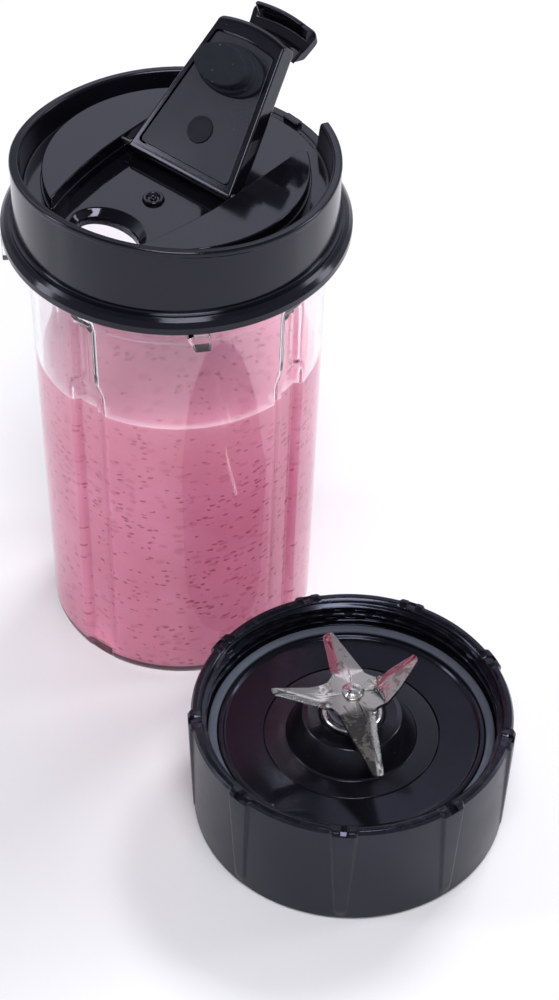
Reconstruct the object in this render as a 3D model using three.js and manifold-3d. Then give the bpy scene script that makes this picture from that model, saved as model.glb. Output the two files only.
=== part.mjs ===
// A personal-blender cup set: a clear travel cup with a screw-on flip-top lid, and the separate
// screw-on blade base that stands beside it. Millimetres, +Z up, origin at the centre of the cup's
// base on the table. The lid's channel runs along azimuth LID_TURN, with the drinking hole at its
// low-u end and the gap in the ring at its high-u end.
import * as THREE from "three";
import { mergeVertices } from "three/addons/utils/BufferGeometryUtils.js";
import Module from "manifold-3d";

// ---------- driving dimensions ----------
const DEG = Math.PI / 180;
const GAP = 0.3; // between pieces that touch
const RUN = 0.08; // radial running clearance of a pin or a shaft

const CUP = {
  baseR: 39.0, // outer radius of the cone at the table
  rimR: 42.06, // outer radius of the cone under the shoulder
  shoulderZ: 142.9,
  footR: 35.2,
  wall: 2.0,
  floor: 3.2,
  cornerR: 1.8, // inner corner between the floor and the wall
  neckR: 40.4,
  mouthR: 38.2,
  topZ: 153.2,
  bandZ: 135.0, // the band that carries the lugs starts here
  band: 0.4,
};
const FLUTE = { count: 4, turn: 50, depth: 2.1, narrow: 4.5, wide: 8.0, stepZ: 109, lowZ: 4, inside: 2.0 };
// A lug is a block with one upright flank and one slanted flank.
const LUG = { count: 4, turn: 7, outR: 48.7, topZ: 142.6, lowZ: 137.2 };
const FLANK = { upright: 2.8, slantTop: -3.8, slantLow: -1.5 };
const THREAD = { starts: 2, pitch: 3.2, root: 1.2, crest: 0.7, cupCrestR: 41.9, capCrestR: 41.0 };
const LEAD = THREAD.starts * THREAD.pitch;

const LID_TURN = 47.4;
const LID = {
  flangeR: 48.65,
  flangeZ: 143.3,
  flangeTopZ: 147.9,
  flangeEdge: 0.6,
  rollR: 47.2, // the flange's top edge rolls over from here
  rollTopR: 45.9,
  wallR: 45.1,
  skirtR: 42.6,
  innerR: 42.0,
  rimInnerR: 42.6,
  deckZ: 156.5,
  deckUnderZ: 154.5,
  ledgeR: 44.6,
  rimZ: 164.75, // height of the rim on the hinge's side
  rimSlopeV: -0.0257,
  rimRise: 0.00152, // the rim climbs to the spout as this times the distance squared
  riseFromU: 12.8,
  gapHalf: 25.5, // half the angle of the gap in the ring
};
const SEGMENT = { topZ: 162.7, arcR: 36.6, frontU: -33.2, frontV: 15.3, hingeV: 20.3, corner: 2.2 };
// The oval drinking hole, as [half along u, half along v] pairs.
const HOLE = { u: -27.7, mouth: [9.0, 11.4], step: [6.1, 10.3], throat: [5.9, 9.8], stepZ: 155.0 };
const THROAT_Z = 153.2;
const COLLAR = { half: [7.4, 11.3], lowZ: 152.6 };
const VENT = { u: -9.3, r: 3.1, height: 0.9, hole: 0.7 };

const HINGE = { u: 2.5, z: 159.8, pinR: 0.9, pinHalf: 21.6, open: 135.4 };
// The flip cap's own frame: s runs from its hinge edge to its tip, v across it, h out of its inner face.
const CAP = {
  edgeS: 1.05, // from the hinge edge to the pin, along s
  edgeH: 1.87, // from the inner face to the pin, along -h
  axisS: 3.55, // where the lid's axis crosses the closed cap
  tipR: 41.6, // the tip's arc about the lid's axis
  hingeHalf: 18.5,
  tipHalf: 11.8,
  tipS: 43.0,
  thick: 6.7,
  rampS: 5.5, // the outer face ramps down to the hinge barrel from here
  barrelR: 1.95,
};
// The thumb lip: a neck, a channel that spans the ring's rim, and a hook outside it.
const LIP = { rootR: 38.4, neckR: 41.8, channelR: 45.3, channelH: -12.8, topH: -15.2, half: 13.6 };
const HOOK = { rimR: 48.9, innerR: 48.0, rimH: -7.8, half: 10.9 };
const PANEL = { startS: 2.9, endS: 39.2, startHalf: 16.0, endHalf: 10.1, thick: 1.1, sink: 0.25 };
// The oval stopper: a foot on the panel, a sealing rib and a plain body down to its face.
const STOPPER = { s: 31.05, foot: [7.0, 11.2], footH: 1.0, rib: [6.6, 9.2], ribH: 2.4, stemR: 3.5 };
const STOPPER_BODY = { top: [5.6, 9.0], face: [5.4, 8.7], height: 6.6, edge: 0.5 };
const PLUG = { s: 13.0, r: 3.9, height: 0.3, stemR: 2.0 };

const BASE = { x: 47.2, y: -86.6, rimR: 45.46, footR: 44.66, height: 38.0, boreR: 42.4, skirtR: 42.2 };
const DISH = { z: 28.0, edgeZ: 28.9, seamR: 24.8, seatR: 37.9, seatZ: 27.7, underZ: 25.2 };
const BOSS = { holeR: 12.9, lowZ: 22.0, outR: 26.5, recess: 2.0 };
const GROOVE = { inR: 18.7, outR: 21.3, deep: 1.8 }; // for the hub's O-ring
const RIB = { count: 9, turn: 24, rimHalf: 3.7, tipHalf: 1.75, tipZ: 2.2, proud: 0.9 };
const HUB = { baseR: 18.5, topR: 13.8, topZ: 36.2, bodyR: 12.3, boreR: 6.15, lowZ: 9.8, flange: 1.7 };
const SHAFT = { r: 4.0, neckR: 2.3, neckZ: 37.9, headR: 3.1, headZ: 44.8, topZ: 46.3, endR: 2.3, endZ: 2.0 };
const BLADE = { z: 43.3, thick: 1.2, boreR: 2.6, hubR: 8.6, turn: 100.6 };
// Each arm: azimuth from BLADE.turn, bend angle (up is positive), length from the axis.
const ARMS = [
  { turn: 0, bend: -12, length: 28.0 },
  { turn: 90, bend: 23, length: 24.6 },
  { turn: 180, bend: -12, length: 28.0 },
  { turn: 270, bend: 48, length: 22.4 },
];

const ROUND = 48; // facets of the large turned parts
const MIDDLE = 36; // facets of the hub and the pieces round it
const SMALL = 24; // facets of the small ones

// ---------- solids ----------
const wasm = await Module();
wasm.setup();

function signedVolume(position, index) {
  const a = new THREE.Vector3();
  const b = new THREE.Vector3();
  const c = new THREE.Vector3();
  let sum = 0;
  for (let i = 0; i < index.length; i += 3) {
    a.fromBufferAttribute(position, index[i]);
    b.fromBufferAttribute(position, index[i + 1]);
    c.fromBufferAttribute(position, index[i + 2]);
    sum += a.dot(b.cross(c));
  }
  return sum;
}

// A closed three.js geometry as a manifold solid, with its faces turned outwards.
function solid(geometry) {
  const bare = new THREE.BufferGeometry();
  const source = geometry.index ? geometry.toNonIndexed() : geometry;
  bare.setAttribute("position", source.getAttribute("position"));
  const merged = mergeVertices(bare, 1e-4);
  const index = merged.index.array;
  const outward = signedVolume(merged.attributes.position, index) > 0;
  const faces = [];
  for (let i = 0; i < index.length; i += 3) {
    const [a, b, c] = [index[i], index[i + 1], index[i + 2]];
    if (a !== b && b !== c && a !== c) faces.push(a, outward ? b : c, outward ? c : b);
  }
  const vertProperties = new Float32Array(merged.attributes.position.array);
  const triVerts = new Uint32Array(faces);
  return new wasm.Manifold(new wasm.Mesh({ numProp: 3, vertProperties, triVerts }));
}

const join = (first, ...rest) => rest.reduce((sum, s) => sum.add(s), first);
const cut = (first, ...rest) => rest.reduce((sum, s) => sum.subtract(s), first);

function piece(name, body, look) {
  const made = body.getMesh();
  const geometry = new THREE.BufferGeometry();
  geometry.setAttribute("position", new THREE.BufferAttribute(made.vertProperties, 3));
  geometry.setIndex(new THREE.BufferAttribute(made.triVerts, 1));
  geometry.computeVertexNormals();
  const mesh = new THREE.Mesh(geometry, new THREE.MeshStandardMaterial(look));
  mesh.name = name;
  return mesh;
}

// ---------- shapes ----------
const onCircle = (r, degrees) => [r * Math.cos(degrees * DEG), r * Math.sin(degrees * DEG)];

function arc(cx, cy, r, from, to, steps) {
  const points = [];
  for (let i = 0; i <= steps; i += 1) {
    const [x, y] = onCircle(r, from + ((to - from) * i) / steps);
    points.push([cx + x, cy + y]);
  }
  return points;
}

// A profile of [radius, height] points turned about Z. It closes on itself or ends on the axis.
function turned(profile, segments = ROUND) {
  const points = profile.map(([r, z]) => new THREE.Vector2(r, z));
  const onAxis = profile[0][0] === 0 && profile.at(-1)[0] === 0;
  if (!onAxis) points.push(points[0].clone());
  return solid(new THREE.LatheGeometry(points, segments).rotateX(Math.PI / 2));
}

const tube = (inner, outer, low, high, segments = SMALL) =>
  turned([[inner, low], [outer, low], [outer, high], [inner, high]], segments);

const rod = (r, low, high, segments = SMALL) => turned([[0, low], [r, low], [r, high], [0, high]], segments);

// An outline of [x, y] points raised from z = low to z = high.
function plate(outline, low, high) {
  const shape = new THREE.Shape(outline.map(([x, y]) => new THREE.Vector2(x, y)));
  const depth = high - low;
  return solid(new THREE.ExtrudeGeometry(shape, { depth, bevelEnabled: false }).translate(0, 0, low));
}

const box = (x, y, z, at = [0, 0, 0]) => solid(new THREE.BoxGeometry(x, y, z).translate(...at));

const spun = (body, degrees) => body.rotate([0, 0, degrees]);

// A run of rings of equal length, each a list of [x, y, z] points, skinned and closed at both ends.
function skinned(rings) {
  const n = rings[0].length;
  const triangles = [];
  const add = (...points) => triangles.push(...points.flat());
  for (let i = 0; i + 1 < rings.length; i += 1) {
    for (let j = 0; j < n; j += 1) {
      const k = (j + 1) % n;
      add(rings[i][j], rings[i][k], rings[i + 1][k]);
      add(rings[i][j], rings[i + 1][k], rings[i + 1][j]);
    }
  }
  for (let j = 1; j + 1 < n; j += 1) {
    add(rings[0][0], rings[0][j + 1], rings[0][j]);
    add(rings.at(-1)[0], rings.at(-1)[j], rings.at(-1)[j + 1]);
  }
  const geometry = new THREE.BufferGeometry();
  geometry.setAttribute("position", new THREE.Float32BufferAttribute(triangles, 3));
  return solid(geometry);
}

// Stacked ovals, each [half along x, half along y] and a height, skinned from the lowest to the highest.
function ovals(levels, segments = ROUND) {
  const circle = arc(0, 0, 1, 0, 360 - 360 / segments, segments - 1);
  return skinned(levels.map(([[a, b], z]) => circle.map(([x, y]) => [a * x, b * y, z])));
}

// One start of the screw thread: a ridge from rootR to crestR that climbs LEAD in each turn.
function ridge(rootR, crestR, startZ, startTurn, turns) {
  const steps = Math.round(turns * 24);
  const half = THREAD.root / 2;
  const top = THREAD.crest / 2;
  const rings = [];
  for (let i = 0; i <= steps; i += 1) {
    const angle = startTurn + (360 * turns * i) / steps;
    const z = startZ + (LEAD * turns * i) / steps;
    const at = (r, dz) => [...onCircle(r, angle), z + dz];
    rings.push([at(rootR, -half), at(crestR, -top), at(crestR, top), at(rootR, half)]);
  }
  return skinned(rings);
}

function thread(rootR, crestR, startZ, startTurn, turns) {
  const starts = [];
  for (let i = 0; i < THREAD.starts; i += 1) {
    starts.push(ridge(rootR, crestR, startZ, startTurn + (360 * i) / THREAD.starts, turns));
  }
  return join(...starts);
}

// A polygon with each corner rounded by radius r.
function rounded(corners, r, steps = 4) {
  const shape = [];
  corners.forEach((corner, i) => {
    const here = new THREE.Vector2(...corner);
    const before = new THREE.Vector2(...corners.at(i - 1)).sub(here).normalize();
    const after = new THREE.Vector2(...corners[(i + 1) % corners.length]).sub(here).normalize();
    const half = Math.acos(THREE.MathUtils.clamp(before.dot(after), -1, 1)) / 2;
    const back = r / Math.tan(half);
    const from = here.clone().addScaledVector(before, back);
    const to = here.clone().addScaledVector(after, back);
    for (let k = 0; k <= steps; k += 1) {
      const t = k / steps;
      const a = from.clone().lerp(here, t);
      const b = here.clone().lerp(to, t);
      const p = a.lerp(b, t);
      shape.push([p.x, p.y]);
    }
  });
  return shape;
}

// ---------- looks ----------
const CLEAR = { color: 0xe9e6f2, roughness: 0.04, metalness: 0, transparent: true, opacity: 0.35 };
const GLOSS_BLACK = { color: 0x0b0b0e, roughness: 0.12, metalness: 0 };
const SATIN_BLACK = { color: 0x121317, roughness: 0.35, metalness: 0 };
const STOPPER_RUBBER = { color: 0x1a1d24, roughness: 0.8, metalness: 0 };
const SILICONE = { color: 0x66718a, roughness: 0.6, metalness: 0 };
const DARK_SILICONE = { color: 0x2c3038, roughness: 0.7, metalness: 0 };
const STEEL = { color: 0xb8b6b2, roughness: 0.25, metalness: 1 };
const BRIGHT_STEEL = { color: 0xcfcfd2, roughness: 0.15, metalness: 1 };
const BRONZE = { color: 0xa9825a, roughness: 0.4, metalness: 1 };
const NYLON = { color: 0x33343a, roughness: 0.55, metalness: 0 };

// ---------- cup ----------
const coneR = (z) => CUP.baseR + ((CUP.rimR - CUP.baseR) * z) / CUP.shoulderZ;
const coneTilt = Math.atan((CUP.rimR - CUP.baseR) / CUP.shoulderZ) / DEG;

// A block that follows the cup's wall from low to high, its inner face `sink` under the surface.
function fluteBlock(width, low, high, sink) {
  const deep = 8;
  const middle = (low + high) / 2;
  const upright = box(deep, width, high - low).rotate([0, coneTilt, 0]);
  return upright.translate([coneR(middle) - sink + deep / 2, 0, middle]);
}

function fluteBlocks(grow, sink) {
  const narrow = fluteBlock(FLUTE.narrow + grow, FLUTE.stepZ - 1, CUP.bandZ - 2 + grow / 2, sink);
  const wide = fluteBlock(FLUTE.wide + grow, FLUTE.lowZ - grow, FLUTE.stepZ + grow / 2, sink);
  return join(narrow, wide);
}

function around(count, turn, make) {
  const made = [];
  for (let i = 0; i < count; i += 1) made.push(spun(make(), turn + (360 * i) / count));
  return made;
}

function lug() {
  const inner = CUP.neckR + 0.6;
  const outline = [
    [-LUG.lowZ, FLANK.slantLow],
    [-LUG.lowZ, FLANK.upright],
    [-LUG.topZ, FLANK.upright],
    [-LUG.topZ, FLANK.slantTop],
  ];
  return plate(outline, inner, LUG.outR).rotate([0, 90, 0]);
}

function cupBody() {
  const outer = turned([
    [0, 0],
    [CUP.footR - 1, 0],
    ...arc(CUP.footR - 1, 4.9, 4.9, -90, -2, 5),
    [coneR(CUP.bandZ), CUP.bandZ],
    [coneR(CUP.bandZ) + CUP.band, CUP.bandZ + 0.5],
    [CUP.rimR + CUP.band, CUP.shoulderZ],
    [CUP.neckR, CUP.shoulderZ + 0.6],
    [CUP.neckR, CUP.topZ],
    [0, CUP.topZ],
  ]);
  const cornerAt = CUP.footR - 0.8;
  const inside = turned([
    [0, CUP.floor],
    [cornerAt, CUP.floor],
    ...arc(cornerAt, CUP.floor + CUP.cornerR, CUP.cornerR, -60, 0, 2),
    [coneR(CUP.shoulderZ) - CUP.wall, CUP.shoulderZ - 3],
    [CUP.mouthR, CUP.shoulderZ + 1],
    [CUP.mouthR, CUP.topZ + 1],
    [0, CUP.topZ + 1],
  ]);
  const flutes = (grow, sink) => around(FLUTE.count, FLUTE.turn, () => fluteBlocks(grow, sink));
  const shell = cut(outer, ...flutes(0, FLUTE.depth));
  const drink = cut(inside, ...flutes(FLUTE.inside, FLUTE.depth + CUP.wall));
  const screw = thread(CUP.neckR - 0.4, THREAD.cupCrestR, CUP.shoulderZ + 2.2, 0, 0.95);
  return cut(join(shell, screw, ...around(LUG.count, LUG.turn, lug)), drink);
}

// ---------- lid ----------
function lidRingBlank() {
  const high = LID.rimZ + 8;
  return turned([
    [LID.skirtR, LID.flangeZ],
    [LID.flangeR - LID.flangeEdge, LID.flangeZ],
    [LID.flangeR, LID.flangeZ + LID.flangeEdge],
    [LID.flangeR, LID.flangeZ + 2.2],
    [LID.rollR, LID.flangeTopZ - 0.7],
    [LID.rollTopR, LID.flangeTopZ],
    [LID.wallR, LID.flangeTopZ],
    [LID.wallR - 0.1, high],
    [LID.rimInnerR, high],
    [LID.innerR, LID.deckZ + 1.2],
    [LID.innerR - 0.9, LID.deckZ],
    [0, LID.deckZ],
    [0, LID.deckUnderZ],
    [LID.skirtR, LID.deckUnderZ],
  ]);
}

// Everything above the rim, which slants across the lid and curves up to the spout.
function aboveRim() {
  const reach = 65;
  const steps = 26;
  const outline = [[reach, 0], [reach, 40], [-reach, 40]];
  for (let i = 0; i <= steps; i += 1) {
    const u = -reach + ((LID.riseFromU + reach) * i) / steps;
    outline.push([u, LID.rimRise * (LID.riseFromU - u) ** 2]);
  }
  const tilt = Math.atan(LID.rimSlopeV) / DEG;
  const block = plate(outline, -reach, reach).rotate([90, 0, 0]);
  return block.rotate([tilt, 0, 0]).translate([0, 0, LID.rimZ]);
}

function ringGap() {
  const wedge = [[0, 0], ...arc(0, 0, 60, -LID.gapHalf, LID.gapHalf, 6)];
  const slice = plate(wedge, LID.deckZ, LID.rimZ + 10);
  const ring = tube(SEGMENT.arcR + 1.5, 52, LID.deckZ, LID.rimZ + 10, ROUND);
  return slice.intersect(ring);
}

// One raised D-shaped part of the deck, on the side of the channel where v is positive.
function deckSegment(side) {
  const backV = SEGMENT.hingeV;
  const backAngle = Math.asin(backV / SEGMENT.arcR) / DEG;
  const frontAngle = 180 - Math.asin(SEGMENT.frontV / SEGMENT.arcR) / DEG;
  const rim = arc(0, 0, SEGMENT.arcR, backAngle + 3, frontAngle - 3, 14);
  const [backX, backY] = onCircle(SEGMENT.arcR, backAngle);
  const outline = [[backX - 2.4, backY], [backX - 0.5, backY + 0.6], ...rim];
  outline.push([SEGMENT.frontU + 0.1, SEGMENT.frontV + 0.6], [SEGMENT.frontU + 1.8, SEGMENT.frontV]);
  outline.push([0, SEGMENT.hingeV]);
  return plate(outline.map(([u, v]) => [u, side * v]), LID.deckZ - 0.4, SEGMENT.topZ);
}

function drinkingHole() {
  const { mouth, step, throat } = HOLE;
  const levels = [[throat, COLLAR.lowZ - 1], [throat, THROAT_Z], [step, HOLE.stepZ], [mouth, LID.deckZ]];
  return ovals([...levels, [mouth, LID.deckZ + 1]]).translate([HOLE.u, 0, 0]);
}

function ventNub() {
  const top = LID.deckZ + VENT.height;
  const low = LID.deckZ - 0.4;
  const profile = [[0, low], [VENT.r, low], [VENT.r, LID.deckZ], [VENT.r - 0.6, top], [0, top]];
  return turned(profile, SMALL).translate([VENT.u, 0, 0]);
}

function lidShell() {
  const collarLevels = [[COLLAR.half, COLLAR.lowZ], [COLLAR.half, LID.deckUnderZ + 0.4]];
  const collar = ovals(collarLevels).translate([HOLE.u, 0, 0]);
  const bored = rod(VENT.hole, LID.deckUnderZ - 1, LID.deckZ + 3, 12).translate([VENT.u, 0, 0]);
  const pinHole = rod(HINGE.pinR + RUN, -HINGE.pinHalf - GAP, HINGE.pinHalf + GAP, 16);
  const seat = pinHole.rotate([90, 0, 0]).translate([HINGE.u, 0, HINGE.z]);
  const catchBlock = box(2.2, 6, 1.8, [LID.ledgeR - 1.3, 0, LID.deckZ + 0.5]).rotate([0, 0, -7]);
  const body = join(lidRingBlank(), deckSegment(1), deckSegment(-1), ventNub(), collar);
  const open = join(cut(body, drinkingHole(), bored, ringGap(), seat), catchBlock);
  const screw = thread(LID.skirtR + 0.3, THREAD.capCrestR, LID.flangeZ + 1.8 + THREAD.pitch / 2, 0, 0.8);
  return join(spun(cut(open, aboveRim()), LID_TURN), screw);
}

const lidGasket = () => tube(CUP.mouthR - 0.2, CUP.neckR + 0.8, CUP.topZ + 0.2, LID.deckUnderZ - 0.2, ROUND);

const hingePin = () => {
  const pin = rod(HINGE.pinR, -HINGE.pinHalf, HINGE.pinHalf, 16);
  return spun(pin.rotate([90, 0, 0]).translate([HINGE.u, 0, HINGE.z]), LID_TURN);
};

// ---------- flip cap, in its own frame with the pin at the origin ----------
const fromEdge = (body) => body.translate([-CAP.edgeS, 0, CAP.edgeH]);
const capHalf = (s) => CAP.hingeHalf + ((CAP.tipHalf - CAP.hingeHalf) * s) / CAP.tipS;

// The cap's outline, set in by `inset`, with its tip on an arc about the lid's axis.
function capOutline(inset, startS) {
  const tipR = CAP.tipR - inset;
  const half = capHalf(CAP.tipS) - inset;
  const swing = Math.asin(half / tipR) / DEG;
  const start = capHalf(startS) - inset;
  return [[startS, -start], ...arc(CAP.axisS, 0, tipR, -swing, swing, 8), [startS, start]];
}

// The cap's side view: a flat inner face, a round barrel at the hinge and a ramp on the outer face.
function capSide() {
  const barrel = arc(CAP.edgeS, -CAP.edgeH, CAP.barrelR, 105, 255, 6);
  const outline = [[60, 0], ...barrel, [CAP.rampS, -CAP.thick], [60, -CAP.thick]];
  return plate(outline, -30, 30).rotate([90, 0, 0]);
}

function capLip() {
  const neck = turned([
    [LIP.rootR, -CAP.thick + 1],
    [CAP.tipR - 0.2, -CAP.thick + 1],
    [LIP.neckR, -CAP.thick - 1.5],
    [LIP.neckR + 0.1, LIP.channelH + 1],
    [LIP.neckR + 0.8, LIP.channelH + 0.3],
    [LIP.channelR, LIP.channelH],
    [HOOK.rimR - 0.2, LIP.channelH],
    [HOOK.rimR - 0.9, LIP.topH + 1],
    [HOOK.rimR - 2, LIP.topH],
    [LIP.rootR + 2.6, LIP.topH],
    [LIP.rootR + 0.6, LIP.topH + 3],
  ]);
  const hook = turned([
    [LIP.channelR, LIP.channelH - 0.5],
    [HOOK.rimR - 0.2, LIP.channelH - 0.5],
    [HOOK.rimR, HOOK.rimH - 0.9],
    [HOOK.innerR, HOOK.rimH],
    [LIP.channelR + 0.4, LIP.channelH],
  ]);
  const slice = (half) => plate([[0, 0], ...arc(0, 0, 60, -half, half, 4)], LIP.topH - 1, 0);
  const lip = join(neck.intersect(slice(LIP.half)), hook.intersect(slice(HOOK.half)));
  return lip.translate([CAP.axisS, 0, 0]);
}

function panelOutline(grow) {
  const corners = [
    [PANEL.startS - grow, -PANEL.startHalf - grow],
    [PANEL.endS + grow, -PANEL.endHalf - grow],
    [PANEL.endS + 1.3 + grow, 0],
    [PANEL.endS + grow, PANEL.endHalf + grow],
    [PANEL.startS - grow, PANEL.startHalf + grow],
  ];
  return rounded(corners, 1.2);
}

function flipCap() {
  const blank = plate(capOutline(0, -CAP.barrelR), -CAP.thick - 1, 1).intersect(capSide());
  const seat = plate(panelOutline(GAP), -PANEL.sink - PANEL.thick - GAP, 1);
  const hollow = plate(panelOutline(-2), -CAP.thick + 1.8, 1);
  const keepBarrel = box(9, 60, 20, [2, 0, 0]);
  const bore = rod(HINGE.pinR + RUN, -30, 30, 16).rotate([90, 0, 0]);
  const body = join(cut(blank, seat, cut(hollow, keepBarrel)), capLip());
  return cut(fromEdge(body), bore);
}

function capPanel() {
  const top = -PANEL.sink;
  const sheet = plate(panelOutline(0), top - PANEL.thick, top);
  const stem = rod(STOPPER.stemR + GAP, -3, 1).translate([STOPPER.s, 0, 0]);
  const small = rod(PLUG.stemR + GAP, -3, 1).translate([PLUG.s, 0, 0]);
  return fromEdge(cut(sheet, stem, small));
}

function spoutStopper() {
  const foot = GAP - PANEL.sink;
  const stem = rod(STOPPER.stemR, -PANEL.sink - PANEL.thick - 1, foot + GAP);
  const { face, top, height, edge } = STOPPER_BODY;
  const body = ovals([
    [STOPPER.foot, foot],
    [STOPPER.foot, STOPPER.footH],
    [STOPPER.rib, STOPPER.ribH - 0.5],
    [STOPPER.rib, STOPPER.ribH],
    [top, STOPPER.ribH + 0.6],
    [face, height - edge],
    [face.map((half) => half - edge), height],
  ]);
  return fromEdge(join(stem, body).translate([STOPPER.s, 0, 0]));
}

function ventPlug() {
  const low = -PANEL.sink - PANEL.thick - 1;
  const foot = GAP - PANEL.sink;
  const profile = [[0, low], [PLUG.stemR, low], [PLUG.stemR, foot], [PLUG.r, foot]];
  profile.push([PLUG.r - 0.2, PLUG.height], [0, PLUG.height]);
  return fromEdge(turned(profile, SMALL).translate([PLUG.s, 0, 0]));
}

// ---------- blade base ----------
const wallR = (z) => BASE.footR + ((BASE.rimR - BASE.footR) * z) / BASE.height;

// A grip rib: wide and proud at the rim, narrow and low at its tip.
function gripRib() {
  const root = BASE.boreR + 0.8;
  const half = (z) => RIB.tipHalf + ((RIB.rimHalf - RIB.tipHalf) * (z - RIB.tipZ)) / (BASE.height - RIB.tipZ);
  const level = (z, proud) => {
    const w = half(z);
    return [[root, -w, z], [wallR(z) + proud, -w * 0.8, z], [wallR(z) + proud, w * 0.8, z], [root, w, z]];
  };
  const high = BASE.height;
  return skinned([level(RIB.tipZ, 0.3), level(high - 1.4, RIB.proud), level(high, RIB.proud - 0.5)]);
}

function housing() {
  const recessZ = DISH.z - BOSS.recess;
  const body = turned([
    [BASE.skirtR, 0],
    [BASE.footR, 0],
    [wallR(36.8), 36.8],
    [BASE.rimR - 0.7, BASE.height],
    [BASE.boreR + 0.4, BASE.height],
    [BASE.boreR, BASE.height - 0.6],
    [BASE.boreR, DISH.seatZ],
    [DISH.seatR, DISH.seatZ],
    [DISH.seatR, DISH.edgeZ],
    [DISH.seatR - 0.8, DISH.edgeZ + 0.1],
    [DISH.seatR - 2.4, DISH.edgeZ - 0.4],
    [DISH.seamR + GAP, DISH.z],
    [DISH.seamR + GAP, recessZ],
    [GROOVE.outR, recessZ],
    [GROOVE.outR, recessZ - GROOVE.deep],
    [GROOVE.inR, recessZ - GROOVE.deep],
    [GROOVE.inR, recessZ],
    [BOSS.holeR, recessZ],
    [BOSS.holeR, BOSS.lowZ],
    [BOSS.outR, BOSS.lowZ],
    [BOSS.outR + 1, DISH.underZ - 0.2],
    [40.5, DISH.underZ],
    [BASE.skirtR, DISH.underZ - 1.7],
  ]);
  const screw = thread(BASE.boreR + 0.3, THREAD.capCrestR, 31.4, 0, 0.75);
  return join(body, screw, ...around(RIB.count, RIB.turn, gripRib));
}

const baseGasket = () => tube(DISH.seatR + GAP, 41.4, DISH.seatZ + GAP, 29.4, ROUND);

function hubRing() {
  const z = DISH.z - HUB.flange;
  return turned([
    [HUB.boreR, HUB.lowZ],
    [HUB.bodyR, HUB.lowZ],
    [HUB.bodyR, z],
    [DISH.seamR, z],
    [DISH.seamR, DISH.z],
    [HUB.baseR, DISH.z],
    [HUB.topR, HUB.topZ],
    [8.8, HUB.topZ],
    [8.8, HUB.topZ - 0.7],
    [HUB.boreR, HUB.topZ - 0.7],
  ], MIDDLE);
}

const upperBushing = () => turned([
  [SHAFT.r + RUN, 29.7],
  [6, 29.7],
  [6, 35.8],
  [8.5, 35.8],
  [8.5, 37.0],
  [8.1, 37.3],
  [7.2, 37.3],
  [6.9, 37.0],
  [6.9, 36.4],
  [SHAFT.r + RUN, 36.4],
], SMALL);

const shaftSeal = () => turned([[4.3, 36.7], [6.6, 36.7], [6.6, 37.1], [6.2, 37.5], [4.3, 37.5]], SMALL);

const oRing = () => turned(arc(20, DISH.z - 2.85, 0.75, 0, 300, 5), MIDDLE);

function hubNut() {
  const ring = tube(HUB.bodyR + GAP, 18, 17, BOSS.lowZ - GAP, MIDDLE);
  const notches = around(6, 0, () => box(4, 4, 6, [18, 0, 17]));
  return cut(ring, ...notches);
}

function driveShaft() {
  const groove = 2.6;
  return turned([
    [0, SHAFT.endZ],
    [SHAFT.endR - 0.3, SHAFT.endZ],
    [SHAFT.endR, SHAFT.endZ + 0.4],
    [SHAFT.endR, 7.0],
    [SHAFT.r, 7.0],
    [SHAFT.r, 7.4],
    [groove, 7.4],
    [groove, 8.6],
    [SHAFT.r, 8.6],
    [SHAFT.r, SHAFT.neckZ - 0.2],
    [SHAFT.neckR, SHAFT.neckZ - 0.2],
    [SHAFT.neckR, SHAFT.headZ],
    [SHAFT.headR, SHAFT.headZ],
    [SHAFT.headR, SHAFT.headZ + 0.5],
    [SHAFT.headR * 0.7, SHAFT.topZ - 0.2],
    [0, SHAFT.topZ],
  ], SMALL);
}

// One arm of the cutter: flat root, bent at the hub's edge, its leading edge straight to the tip.
function bladeArm({ bend, length }) {
  const rootHalf = 6.2;
  const bendR = 7.4;
  const tipLead = 2.2;
  const tipTrail = -0.6;
  const rise = Math.sin(bend * DEG);
  const run = Math.cos(bend * DEG);
  const across = (r, lead, trail, z) => {
    const top = z + BLADE.thick;
    return [[r, trail, z], [r, lead, z], [r, lead, top], [r, trail, top]];
  };
  const out = length - bendR;
  const lead = 4.4;
  return skinned([
    across(0, rootHalf, -rootHalf, BLADE.z),
    across(bendR, lead, -rootHalf + 0.4, BLADE.z),
    across(bendR + out * 0.45 * run, 3.4, -3.2, BLADE.z + out * 0.45 * rise),
    across(bendR + out * run, tipLead, tipTrail, BLADE.z + out * rise),
  ]);
}

function bladeSet() {
  const arms = ARMS.map((arm) => spun(bladeArm(arm), BLADE.turn + arm.turn));
  const hub = rod(BLADE.hubR, BLADE.z, BLADE.z + BLADE.thick);
  return cut(join(hub, ...arms), rod(BLADE.boreR, BLADE.z - 1, BLADE.z + 3));
}

const bladeSpacer = () => tube(BLADE.boreR, 5.2, SHAFT.neckZ + 0.1, BLADE.z - GAP);
const bearingSpacer = () => tube(4.5, 5.85, 16.6, 29.4);
const lowerBushing = () => tube(SHAFT.r + RUN, 6.0, 9.9, 16.3);
const thrustWasher = () => tube(4.3, 7.0, 8.7, 9.5);

function retainingClip() {
  const ring = tube(2.9, 5.6, 7.6, 8.4);
  return cut(ring, box(6, 3.6, 2, [4.5, 0, 8]));
}

function driveCoupling() {
  const teeth = 10;
  const outline = [];
  for (let i = 0; i < teeth; i += 1) {
    const at = (360 * i) / teeth;
    outline.push(onCircle(8.6, at - 12), onCircle(11, at - 7), onCircle(11, at + 7), onCircle(8.6, at + 12));
  }
  return cut(plate(outline, 1.2, 6.7), rod(SHAFT.endR + GAP, 0, 8));
}

// ---------- assembly ----------
function cupGroup() {
  const group = new THREE.Group();
  group.add(piece("cup_body", cupBody(), CLEAR));
  return group;
}

function lidGroup() {
  const group = new THREE.Group();
  group.add(
    piece("lid_shell", lidShell(), GLOSS_BLACK),
    piece("lid_gasket", lidGasket(), SILICONE),
    piece("hinge_pin", hingePin(), STEEL),
  );
  return group;
}

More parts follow.
